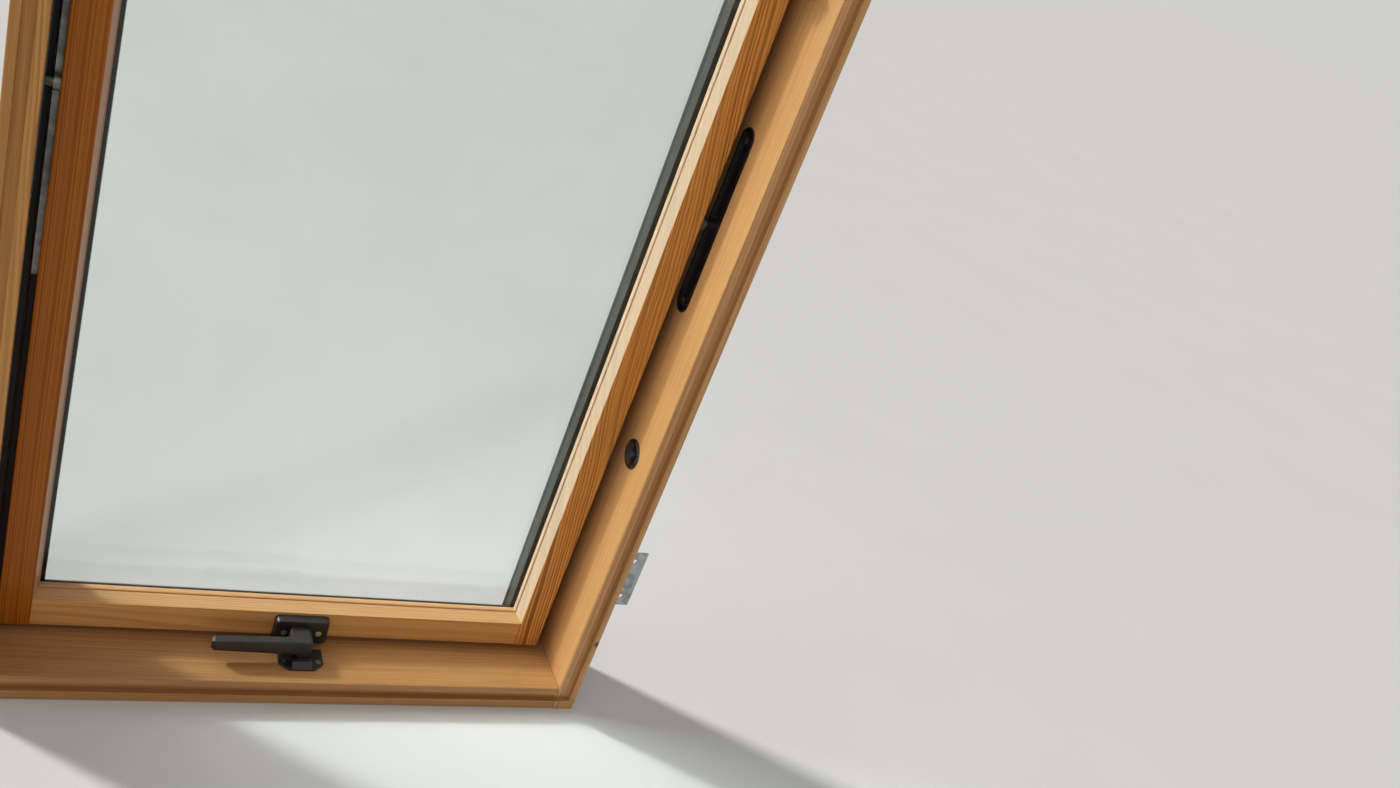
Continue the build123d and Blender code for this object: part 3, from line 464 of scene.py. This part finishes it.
def dress(finish, *names):
    """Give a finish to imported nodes."""
    for name in names:
        mesh = nodes[name].data
        mesh.materials.clear()
        mesh.materials.append(finish)
    print(finish.name, "on", len(names), "pieces")


print("material helpers ready")

# %% [markdown]
# ## Lacquered pine
#
# A plank shows its tree's yearly rings cut lengthways: a broad pale band that grew in spring, then a thin
# dark line from late summer, with a sharp edge on its dark side. Stretched noise alone gives soft streaks
# that turn into blots at a member's end, while counted rings run on round every edge, as in real wood. So
# the finish measures how far each point lies from the heart of the tree, which is a line beside the plank,
# and divides that by the width of a ring. No tree grows evenly, so a slow noise makes some years wide and
# others narrow, and every year gets a strength of its own.


# %% Count the years
def years(tree, where, across, ring, seed):
    """How dark the late wood is at a point, from 0 to 1; across masks out the direction of the grain."""
    flat = put(tree, "VectorMath", operation="MULTIPLY")
    flat.inputs[1].default_value = across
    radius = put(tree, "VectorMath", operation="LENGTH")
    wire(tree, where, flat.inputs[0], flat.outputs[0], radius.inputs[0])
    count = sums(tree, "DIVIDE", radius.outputs["Value"], ring)
    change, unevenness = 0.23, 3.6
    pace = put(tree, "TexNoise", noise_dimensions="1D", Scale=change, Detail=2.0)
    wire(tree, sums(tree, "ADD", count, seed * 10), pace.inputs["W"])
    count = sums(tree, "ADD", count, sums(tree, "MULTIPLY", pace.outputs["Fac"], unevenness))
    season = sums(tree, "FRACT", count, 0)
    strength = put(tree, "TexWhiteNoise", noise_dimensions="1D")
    wire(tree, sums(tree, "FLOOR", count, 0), strength.inputs["W"])
    through_the_year = [(0.0, 0.0), (0.40, 0.10), (0.66, 0.85), (0.92, 1.0), (1.0, 0.0)]
    late = ramp(tree, season, [(time, (darkness,) * 3) for time, darkness in through_the_year])
    return sums(tree, "MULTIPLY", late, span(tree, strength.outputs["Value"], 0, 1, 0.45, 1.0))


# %% [markdown]
# A trunk is never straight either. A slow noise moves each point a little before the years are counted, and
# that bends the grain. Fine fibres, clouds of warmer and cooler wood, and a rare pin knot come on top.


# %% Bend the grain
def wandering(tree, place, slow, bend, seed):
    """Move a place by slow noise; bend is how far, in metres."""
    wave = put(tree, "TexNoise", Scale=1.0, Detail=1.5, Roughness=0.5)
    wander = put(tree, "VectorMath", operation="MULTIPLY_ADD")
    wander.inputs[1].default_value = (2 * bend,) * 3
    wire(tree, stretched(tree, slow, (seed,) * 3), wave.inputs["Vector"])
    wire(tree, wave.outputs["Color"], wander.inputs[0], place, wander.inputs[2])
    return wander.outputs[0]


# %% Add fibres, clouds and knots
knot_brown = (0.085, 0.030, 0.010)
knots_in_a_metre = 3.4


def lively(tree, wood, fibres, clouds, seed):
    """Plain wood with its fibres, its warmer and cooler clouds and its pin knots."""
    streaks = ramp(tree, fibres, [(0.30, (0.82, 0.78, 0.72)), (0.62, (1.05, 1.04, 1.03))])
    wood = mixed(tree, "MULTIPLY", 0.85, wood, streaks)
    warmth = ramp(tree, clouds, [(0.3, (0.90, 0.84, 0.76)), (0.7, (1.08, 1.10, 1.14))])
    wood = mixed(tree, "MULTIPLY", 0.8, wood, warmth)
    knots = put(tree, "TexVoronoi", Scale=knots_in_a_metre, feature="F1")
    wire(tree, stretched(tree, (1, 1, 1), (seed * 3, 0.37, 0.11)), knots.inputs["Vector"])
    knot = span(tree, knots.outputs["Distance"], 0.010, 0.022, 1.0, 0.0)
    return mixed(tree, "MIX", knot, wood, knot_brown)


# %% [markdown]
# Two marks go by their place on the window, measured in metres. The moulding round the glass faces the
# daylight, so it is painted paler than the face beside it, a painted highlight, apart from its quirk, a
# narrow groove that lies in shade and keeps the plain wood. And where a rail meets its neighbour, a hairline
# shows the joint.

# %% Paint the highlight on the moulding and mark the joints
# the pale colour painted on the moulding, a painted highlight of the daylight on its chamfer
painted_highlight_tone = (0.640, 0.530, 0.400)
joint_shade = (0.40, 0.34, 0.28)
quirk_floor = 0.0330
quirk_reach = 0.0052


def painted_moulding_highlight(tree, wood, places, edge, moulding_highlight):
    """The moulding's highlight names an axis, where on it plain wood ends and moulding begins, and how
    strongly the moulding is painted paler as a highlight; the quirk, which lies in shade, is left out.
    """
    axis, wooden, moulded, share = moulding_highlight
    measure = edge if axis == "X" else places["Z"]
    low_end, high_end = (share, 0) if moulded < wooden else (0, share)
    highlight_share = span(tree, measure, min(wooden, moulded), max(wooden, moulded), low_end, high_end)
    inward = sums(tree, "ABSOLUTE", sums(tree, "SUBTRACT", measure, wooden), 0)
    # the quirk lies in shade, so it keeps the plain wood and gets no painted highlight
    deep = span(tree, places["Y"], quirk_floor, quirk_floor + 0.0001, 0.0, 1.0)
    near = span(tree, inward, quirk_reach - 0.0001, quirk_reach + 0.0001, 1.0, 0.0)
    quirk = sums(tree, "MULTIPLY", deep, near)
    highlight_share = sums(tree, "MULTIPLY", highlight_share, sums(tree, "SUBTRACT", 1.0, quirk))
    return mixed(tree, "MIX", highlight_share, wood, painted_highlight_tone)


def joint_lines(tree, wood, edge, joint):
    """A dark hairline at the half width at which a rail meets its neighbours."""
    line = span(tree, edge, joint - 0.0007, joint - 0.0003, 0.0, 1.0)
    return mixed(tree, "MULTIPLY", line, wood, joint_shade)


# %% [markdown]
# Now the wood is put together. Grain runs along a member, so every pattern is squeezed across it and drawn
# out along it, and a rail turns the same patterns on their side. A thin clear coat over the wood is the
# lacquer.

# %% Mix the pine
spring_wood = (0.640, 0.345, 0.120)
autumn_wood = (0.150, 0.036, 0.007)


def pine(
    name, along, heart, tilt, ring, bend, depth, seed, tone=(1, 1, 1), joint=None, moulding_highlight=None, fine=900,
):
    """Pine for a member along X or Z. Heart is where its tree's centre lies across it, tilt leans that
    centre, ring is the width of a year, bend the waviness in metres, depth how strongly the years show, and
    fine the number of fibres in a metre. Joint is as for the joints, and the moulding's highlight gives where
    and how strongly the moulding is painted paler, as a painted highlight of the daylight."""
    finish, tree, shader = new_finish(name)
    lean = tilt * 0.6
    if along == "Z":
        turn, offset, across = (tilt, lean, 0), (-heart[0], -heart[1], seed), (1, 1, 0)
        fibre, cloud, slow = (fine, fine, 10), (8, 8, 1.8), (7, 7, 2.6)
    else:
        turn, offset, across = (0, tilt, lean), (seed, -heart[0], -heart[1]), (0, 1, 1)
        fibre, cloud, slow = (10, fine, fine), (1.8, 8, 8), (2.6, 7, 7)
    bent = wandering(tree, stretched(tree, (1, 1, 1), offset, turn), slow, bend, seed)
    late = years(tree, bent, across, ring, seed)
    fibres = cloudy(tree, stretched(tree, fibre), 3.0, 0.65)
    clouds = cloudy(tree, stretched(tree, cloud, (seed,) * 3), 3.0)
    pale, dark = (tuple(c * t for c, t in zip(wood, tone)) for wood in (spring_wood, autumn_wood))
    shown = sums(tree, "MULTIPLY", late, span(tree, clouds, 0.35, 0.65, depth * 0.6, depth))
    wood = lively(tree, mixed(tree, "MIX", shown, pale, dark), fibres, clouds, seed)
    parts = put(tree, "SeparateXYZ")
    wire(tree, evenly(tree, 1), parts.inputs[0])
    edge = sums(tree, "ABSOLUTE", parts.outputs["X"], 0)
    # paint the moulding paler where the daylight falls on it, a painted highlight
    if moulding_highlight:
        wood = painted_moulding_highlight(tree, wood, parts.outputs, edge, moulding_highlight)
    if joint:
        wood = joint_lines(tree, wood, edge, joint)
    wire(tree, wood, shader.inputs["Base Color"])
    wire(tree, span(tree, fibres, 0.3, 0.7, 0.30, 0.42), shader.inputs["Roughness"])
    shader.inputs["Coat Weight"].default_value = 0.08
    shader.inputs["Coat Roughness"].default_value = 0.16
    shader.inputs["Specular IOR Level"].default_value = 0.14
    relief = sums(tree, "MULTIPLY_ADD", late, -0.5)
    wire(tree, fibres, relief.node.inputs[2])
    raised(tree, relief, 0.00012, 0.5, shader)
    return finish


# %% [markdown]
# Each member comes from another plank, so each gets its own heart, tilt and rings, and no two look alike.
# The left stile has close rings, and its darker, redder tone is partly its own wood and partly painted warm
# shade, the shade on its face towards the room. The right one was sawn across the years at a slant, so its
# lines drift.

# %% Pine for the frame
opening_half = 0.359
frame_woods = {
    "frame_jamb_left": pine(
        "pine_left_jamb", "Z", heart=(-0.46, 0.11), tilt=0.012, ring=0.0034, bend=0.004, depth=0.55,
        seed=0.3, tone=(0.90, 0.84, 0.74),
    ),
    "frame_jamb_right": pine(
        "pine_right_jamb", "Z", heart=(0.50, 0.16), tilt=-0.008, ring=0.0046, bend=0.003, depth=0.30,
        seed=1.1, tone=(0.95, 0.95, 1.12),
    ),
    "frame_sill": pine(
        "pine_sill", "X", heart=(-0.20, 0.13), tilt=0.006, ring=0.0050, bend=0.004, depth=0.32,
        seed=2.3, tone=(0.81, 0.79, 0.92), joint=opening_half,
    ),
    "frame_head": pine(
        "pine_head", "X", heart=(0.12, 1.47), tilt=-0.008, ring=0.0040, bend=0.004, depth=0.40,
        seed=3.1, joint=opening_half,
    ),
}
for name, wood in frame_woods.items():
    dress(wood, name)

# %% Pine for the sash
glass_edge_half = 0.3095
stile_moulding = ("X", 0.3097, 0.3092)
bottom_moulding = ("Z", 0.0818, 0.0823)
top_moulding = ("Z", 1.3182, 1.3177)
# the painted highlight on the moulding is strong on the right stile, whose chamfer faces the daylight, and
# weaker on the other members, which lie more in shade
sash_woods = {
    # the left stile's darker, redder tone holds painted warm shade as well as the colour of its own wood
    "sash_stile_left": pine(
        "pine_left_stile", "Z", heart=(-0.50, -0.02), tilt=0.010, ring=0.0028, bend=0.004, depth=0.85,
        seed=4.2, tone=(0.75, 0.44, 0.08), moulding_highlight=(*stile_moulding, 0.3),
    ),
    "sash_stile_right": pine(
        "pine_right_stile", "Z", heart=(-0.30, 0.05), tilt=0.160, ring=0.0050, bend=0.022, depth=1.10,
        seed=5.7, tone=(1.13, 0.94, 0.62), moulding_highlight=(*stile_moulding, 0.75), fine=420,
    ),
    "sash_bottom_rail": pine(
        "pine_bottom_rail", "X", heart=(-0.13, 0.03), tilt=0.010, ring=0.0042, bend=0.004, depth=0.30,
        seed=6.4, tone=(1.06, 0.97, 0.92), joint=glass_edge_half, moulding_highlight=(*bottom_moulding, 0.22),
    ),
    "sash_top_rail": pine(
        "pine_top_rail", "X", heart=(0.11, 1.42), tilt=-0.010, ring=0.0034, bend=0.006, depth=0.55,
        seed=7.9, joint=glass_edge_half, moulding_highlight=(*top_moulding, 0.4),
    ),
}
for name, wood in sash_woods.items():
    dress(wood, name)

# %% [markdown]
# ## Clear glass
#
# The panes are plain float glass: nearly colourless, with a breath of green, very smooth, and never quite
# clean. A Principled shader with full transmission bends and mirrors as glass does. On its own it would
# also throw a dark shadow, since lamps don't see through bent glass, so for shadow rays alone a Transparent
# shader takes its place and lets the light through to the wood behind.


# %% Make the glass
def glass(name):
    """Clear glass with a faint film of dust."""
    finish, tree, shader = new_finish(name)
    dust = cloudy(tree, evenly(tree, 5), 6.0, 0.6)
    specks = put(tree, "TexVoronoi", Scale=55.0, feature="F1")
    wire(tree, evenly(tree, 1), specks.inputs["Vector"])
    speck = span(tree, specks.outputs["Distance"], 0.03, 0.07, 0.25, 0.0)
    film = sums(tree, "ADD", span(tree, dust, 0.45, 0.75, 0.0, 0.035), speck)
    wire(tree, film, shader.inputs["Roughness"])
    tint = ramp(tree, dust, [(0.35, (0.955, 0.985, 0.975)), (0.75, (0.925, 0.960, 0.955))])
    wire(tree, tint, shader.inputs["Base Color"])
    shader.inputs["Transmission Weight"].default_value = 1.0
    shader.inputs["IOR"].default_value = 1.5
    rays = put(tree, "LightPath")
    through = put(tree, "BsdfTransparent", Color=(0.92, 0.95, 0.94, 1))
    either = put(tree, "MixShader")
    out = tree.nodes["Material Output"]
    wire(tree, rays.outputs["Is Shadow Ray"], either.inputs[0], shader.outputs[0], either.inputs[1])
    wire(tree, through.outputs[0], either.inputs[2], either.outputs[0], out.inputs["Surface"])
    return finish


dress(glass("clear_glass"), "inner_pane", "outer_pane")

# %% [markdown]
# ## The spacer bar
#
# Between the panes runs a thin bar of bare aluminium, folded round the corners. Its inner face has two rows
# of pin holes, so that the drying beads inside can work. The holes are far too small to model, so they are
# dark dots. A Voronoi texture can't place dots in rows, but two sine waves multiplied together can.


# %% Make the spacer's bare aluminium
bar_middle = 0.0525
row_gap = 0.006
hole_pitch = 0.0032


def pin_holes(tree, where):
    """Small round dots in rows along the bar, as a value from 0 to 1."""
    parts = put(tree, "SeparateXYZ")
    wire(tree, where, parts.inputs[0])
    along = sums(tree, "ADD", parts.outputs["X"], parts.outputs["Z"])
    beat = sums(tree, "SINE", sums(tree, "MULTIPLY", along, 2 * pi / hole_pitch), 0)
    aside = sums(tree, "SUBTRACT", parts.outputs["Y"], bar_middle)
    rows = sums(tree, "SINE", sums(tree, "MULTIPLY", aside, 2 * pi / row_gap), 0)
    return span(tree, sums(tree, "MULTIPLY", beat, rows), 0.80, 0.95, 0.0, 1.0)


def bare_aluminium(name, colour):
    """Rolled aluminium with faint lines along it and dark pin holes."""
    finish, tree, shader = new_finish(name)
    haze = cloudy(tree, stretched(tree, (30, 400, 30)), 4.0, 0.6)
    dull = tuple(c * 0.72 for c in colour)
    metal = ramp(tree, haze, [(0.3, dull), (0.7, colour)])
    holes = pin_holes(tree, evenly(tree, 1))
    metal = mixed(tree, "MIX", holes, metal, (0.02, 0.02, 0.02))
    height = sums(tree, "SUBTRACT", haze, holes)
    wire(tree, metal, shader.inputs["Base Color"])
    wire(tree, span(tree, haze, 0.3, 0.7, 0.48, 0.60), shader.inputs["Roughness"])
    shader.inputs["Metallic"].default_value = 1.0
    raised(tree, height, 0.0002, 0.3, shader)
    return finish


dress(bare_aluminium("mill_aluminium", (0.098, 0.110, 0.102)), "spacer_frame")


# %% [markdown]
# ## Rubber, sealant and plastic
#
# Behind the bar a tough black sealant joins the panes. Black rubber strips bed the glass and close the gap
# round the sash, and small plastic blocks carry the weight of the glass. A flat black would look like a
# hole in the picture. So a noise lays a faint grey bloom on all of them, as dust and wax do, and a very
# fine bump breaks up their shine.


# %% Make the black rubber and sealant
def rubber(name, colour, gloss):
    """Black rubber, sealant or plastic with a dusty bloom; gloss is its roughness where it is smoothest."""
    finish, tree, shader = new_finish(name)
    bloom = cloudy(tree, evenly(tree, 90), 5.0, 0.65)
    grey = tuple(c * 2.1 + 0.004 for c in colour)
    wire(tree, ramp(tree, bloom, [(0.35, colour), (0.75, grey)]), shader.inputs["Base Color"])
    wire(tree, span(tree, bloom, 0.3, 0.7, gloss, gloss + 0.14), shader.inputs["Roughness"])
    raised(tree, cloudy(tree, evenly(tree, 1500)), 0.00008, 0.4, shader)
    return finish


seal_rubber = rubber("black_rubber_seal", (0.010, 0.010, 0.011), 0.52)
dress(seal_rubber, "frame_seal", "sash_seal")
seal_lips.data.materials.append(seal_rubber)
dress(rubber("black_bedding", (0.008, 0.008, 0.009), 0.60), "glazing_gasket_inner", "glazing_gasket_outer")
dress(rubber("black_sealant", (0.006, 0.006, 0.006), 0.66), "edge_seal")
dress(rubber("black_plastic", (0.012, 0.012, 0.013), 0.45), "setting_blocks")

# %% [markdown]
# ## Coated and plated metal
#
# The lever, its base and the strike are cast and coated nearly black, with a warm brown cast and a soft
# shine that shows a fine orange-peel skin. The bearing plates and the bush are blacker and glossier. The
# weather covers are rolled sheet with a grey baked coat. The skin is far too shallow to model, so a bump
# gives it. One recipe does for all of these, with another colour and gloss for each.


# %% Make a coat for metal
def coated(name, colour, gloss, peel, lift, coat):
    """A sprayed or baked coat, rubbed a little paler in places. Gloss is its roughness where it is
    smoothest, peel the number of bumps in a metre, lift how much paler the rubbed places are, and coat the
    clear layer on top."""
    finish, tree, shader = new_finish(name)
    wear = cloudy(tree, evenly(tree, 28), 5.0, 0.6)
    skin = cloudy(tree, evenly(tree, peel), 2.0)
    pale = tuple(c * lift for c in colour)
    wire(tree, ramp(tree, wear, [(0.40, colour), (0.72, pale)]), shader.inputs["Base Color"])
    wire(tree, span(tree, wear, 0.3, 0.7, gloss, gloss + 0.10), shader.inputs["Roughness"])
    shader.inputs["Coat Weight"].default_value = coat
    shader.inputs["Coat Roughness"].default_value = 0.22
    raised(tree, skin, 0.00010, 0.25, shader)
    return finish


# %% Coat the fittings and the weather covers
lever_black = coated(
    "black_coated_metal", (0.015, 0.012, 0.011), gloss=0.36, peel=1100, lift=1.5, coat=0.12,
)
dress(lever_black, "handle_base", "handle_lever", "handle_spindle", "strike_plate")
fitting_black = coated("black_plate_coat", (0.008, 0.007, 0.007), gloss=0.24, peel=900, lift=1.4, coat=0.5)
dress(fitting_black, "hinge_plate_left", "hinge_plate_right", "bolt_bush", "bolt_housing", "bolt_knob")
sheet_grey = coated(
    "grey_coated_aluminium", (0.125, 0.130, 0.132), gloss=0.40, peel=1400, lift=1.12, coat=0.15,
)
dress(
    sheet_grey, "frame_hood", "frame_cover_left_lower", "frame_cover_left_upper", "frame_cover_right_lower",
    "frame_cover_right_upper", "frame_cover_sill", "sash_cover_left", "sash_cover_right", "sash_cover_top",
    "sash_cover_bottom",
)


# %% [markdown]
# The arms are zinc plated, and the screws of the lever are brassed. Both are thin layers of bright metal
# with a cloudy tarnish. One colour and one gloss would look like foil, so the same clouds change both.


# %% Make plated metal
def plated(name, colour, tarnish, size, gloss):
    """Bright plated metal; size is the number of tarnish clouds in a metre."""
    finish, tree, shader = new_finish(name)
    cloud = cloudy(tree, evenly(tree, size), 4.0, 0.6)
    wire(tree, ramp(tree, cloud, [(0.38, tarnish), (0.66, colour)]), shader.inputs["Base Color"])
    wire(tree, span(tree, cloud, 0.3, 0.7, gloss + 0.14, gloss), shader.inputs["Roughness"])
    shader.inputs["Metallic"].default_value = 1.0
    raised(tree, cloudy(tree, evenly(tree, 1800)), 0.00005, 0.25, shader)
    return finish


zinc = plated("zinc_plated_steel", (0.27, 0.28, 0.265), (0.16, 0.165, 0.155), 60, 0.36)
dress(zinc, "hinge_arm_left", "hinge_arm_right", "pivot_pin_left", "pivot_pin_right", "cleaning_bolt")
brass = plated("brass", (0.86, 0.77, 0.46), (0.42, 0.35, 0.18), 500, 0.42)


# %% [markdown]
# The roof brackets are dipped in molten zinc, which freezes in flat crystals with sharp borders. Noise is
# too soft for those. Voronoi cells have straight borders, and each gets a shade and a gloss of its own.


# %% Make dipped zinc
def spangled(name):
    """Hot-dipped zinc: flat crystals, each a little lighter or darker."""
    finish, tree, shader = new_finish(name)
    crystals = put(tree, "TexVoronoi", Scale=1.0, feature="F1")
    wire(tree, evenly(tree, 110), crystals.inputs["Vector"])
    shade = put(tree, "SeparateColor")
    wire(tree, crystals.outputs["Color"], shade.inputs[0])
    metal = ramp(tree, shade.outputs[0], [(0.0, (0.30, 0.31, 0.32)), (1.0, (0.50, 0.51, 0.52))])
    wire(tree, metal, shader.inputs["Base Color"])
    wire(tree, span(tree, shade.outputs[1], 0.0, 1.0, 0.34, 0.56), shader.inputs["Roughness"])
    shader.inputs["Metallic"].default_value = 1.0
    raised(tree, cloudy(tree, evenly(tree, 600)), 0.00008, 0.3, shader)
    return finish


brackets = [f"bracket_{side}_{height}" for side in ("left", "right") for height in ("lower", "upper")]
dress(spangled("galvanised_steel"), *brackets)

# %% [markdown]
# The screws are finished last, because they take the metals made above: brass at the lever, plated zinc at
# the other fittings and dipped zinc on the roof brackets.

# %% Finish the screws
zinc_crystals = spangled("galvanised_screws")
screw_slots = {
    "handle_screws": (brass, "brass"),
    "strike_screws": (zinc, "zinc_plated_steel"),
    "hinge_plate_screws": (zinc, "zinc_plated_steel"),
    "hinge_arm_screws": (zinc, "zinc_plated_steel"),
    "bolt_housing_screws": (zinc, "zinc_plated_steel"),
    "bracket_screws": (zinc_crystals, "galvanised_steel"),
}
for group, (finish, slot) in screw_slots.items():
    piece = dressed_screws[group]
    piece.data.materials.clear()
    piece.data.materials.append(finish)
print("screws finished:", len(screw_slots), "groups")

# %% [markdown]
# ## The floor
#
# The window stands on a plain pale floor, which catches its shadow. It is one plane, far larger than the
# view, so that its edge is never near. It is dull, and has a faint mottle, because one flat tone looks like
# paper.

# %% Lay the floor
let_go()
bpy.ops.mesh.primitive_plane_add(size=160, location=(0, 0, 0))
floor = bpy.context.object
floor.name = "pale_floor"
floor_paint, floor_tree, floor_shader = new_finish("pale_floor_paint")
mottle = cloudy(floor_tree, evenly(floor_tree, 3), 3.0)
floor_tone = ramp(floor_tree, mottle, [(0.3, (0.820, 0.825, 0.825)), (0.7, (0.840, 0.845, 0.845))])
wire(floor_tree, floor_tone, floor_shader.inputs["Base Color"])
floor_shader.inputs["Roughness"].default_value = 0.9
floor_shader.inputs["Specular IOR Level"].default_value = 0.1
floor.data.materials.append(floor_paint)
print("floor laid")

# %% [markdown]
# ## The world
#
# The world adds a little light from every side. What is seen of it, directly, through the glass or mirrored
# in metal and lacquer, has the floor's own tone, so that no horizon shows. A backdrop would need to
# surround the window to do that, but here a Light Path node tells seen light from the light that falls on
# the window, and each gets its own strength.

# %% Set the world
world = bpy.data.worlds.new("pale_daylight")
bpy.context.scene.world = world
world.use_nodes = True
air = world.node_tree
ambient = air.nodes["Background"]
ambient.inputs["Color"].default_value = (0.92, 0.92, 0.91, 1)
ambient.inputs["Strength"].default_value = 0.34
seen = put(air, "Background", Color=(1.0, 0.99, 0.97, 1), Strength=0.623)
path = put(air, "LightPath")
looked_at = sums(air, "MAXIMUM", path.outputs["Is Camera Ray"], path.outputs["Is Transmission Ray"])
is_seen = sums(air, "MAXIMUM", looked_at, path.outputs["Is Glossy Ray"])
choice = put(air, "MixShader")
wire(air, is_seen, choice.inputs[0])
wire(air, ambient.outputs[0], choice.inputs[1], seen.outputs[0], choice.inputs[2])
wire(air, choice.outputs[0], air.nodes["World Output"].inputs["Surface"])
print("world strength", ambient.inputs["Strength"].default_value)


# %% [markdown]
# ## The lamps
#
# The light comes as it does in a roof: soft daylight falls from behind, high on the left, through the glass
# and onto the inner faces of the sill and the right jamb, while the faces towards the room stay in shade. A
# sun lamp with a wide disc gives that, with soft edges to its shadows. An area lamp would fade over the
# floor, and the sun lights it evenly to its far end. A weak area lamp adds the light that the room throws
# back.


# %% Hang the lamps
def lamp(name, kind, place, aim, watts, tint):
    """A lamp that faces a point; a sun's watts are per square metre."""
    light = bpy.data.lights.new(name, kind)
    light.energy = watts
    light.color = tint
    holder = bpy.data.objects.new(name, light)
    bpy.context.scene.collection.objects.link(holder)
    holder.location = place
    holder.rotation_euler = (Vector(aim) - Vector(place)).to_track_quat("-Z", "Y").to_euler()
    return light


window_middle = (0, 0, 0.6)
daylight = lamp("daylight", "SUN", (-2.0, 1.5, 2.3), window_middle, 2.45, (1.0, 0.97, 0.93))
daylight.angle = radians(5.5)
room_fill = lamp("room_fill", "AREA", (-0.9, -2.4, 2.0), window_middle, 10, (1.0, 0.99, 0.97))
room_fill.size = 2.2
bpy.context.scene.view_settings.view_transform = "Standard"
print("lamps hung")
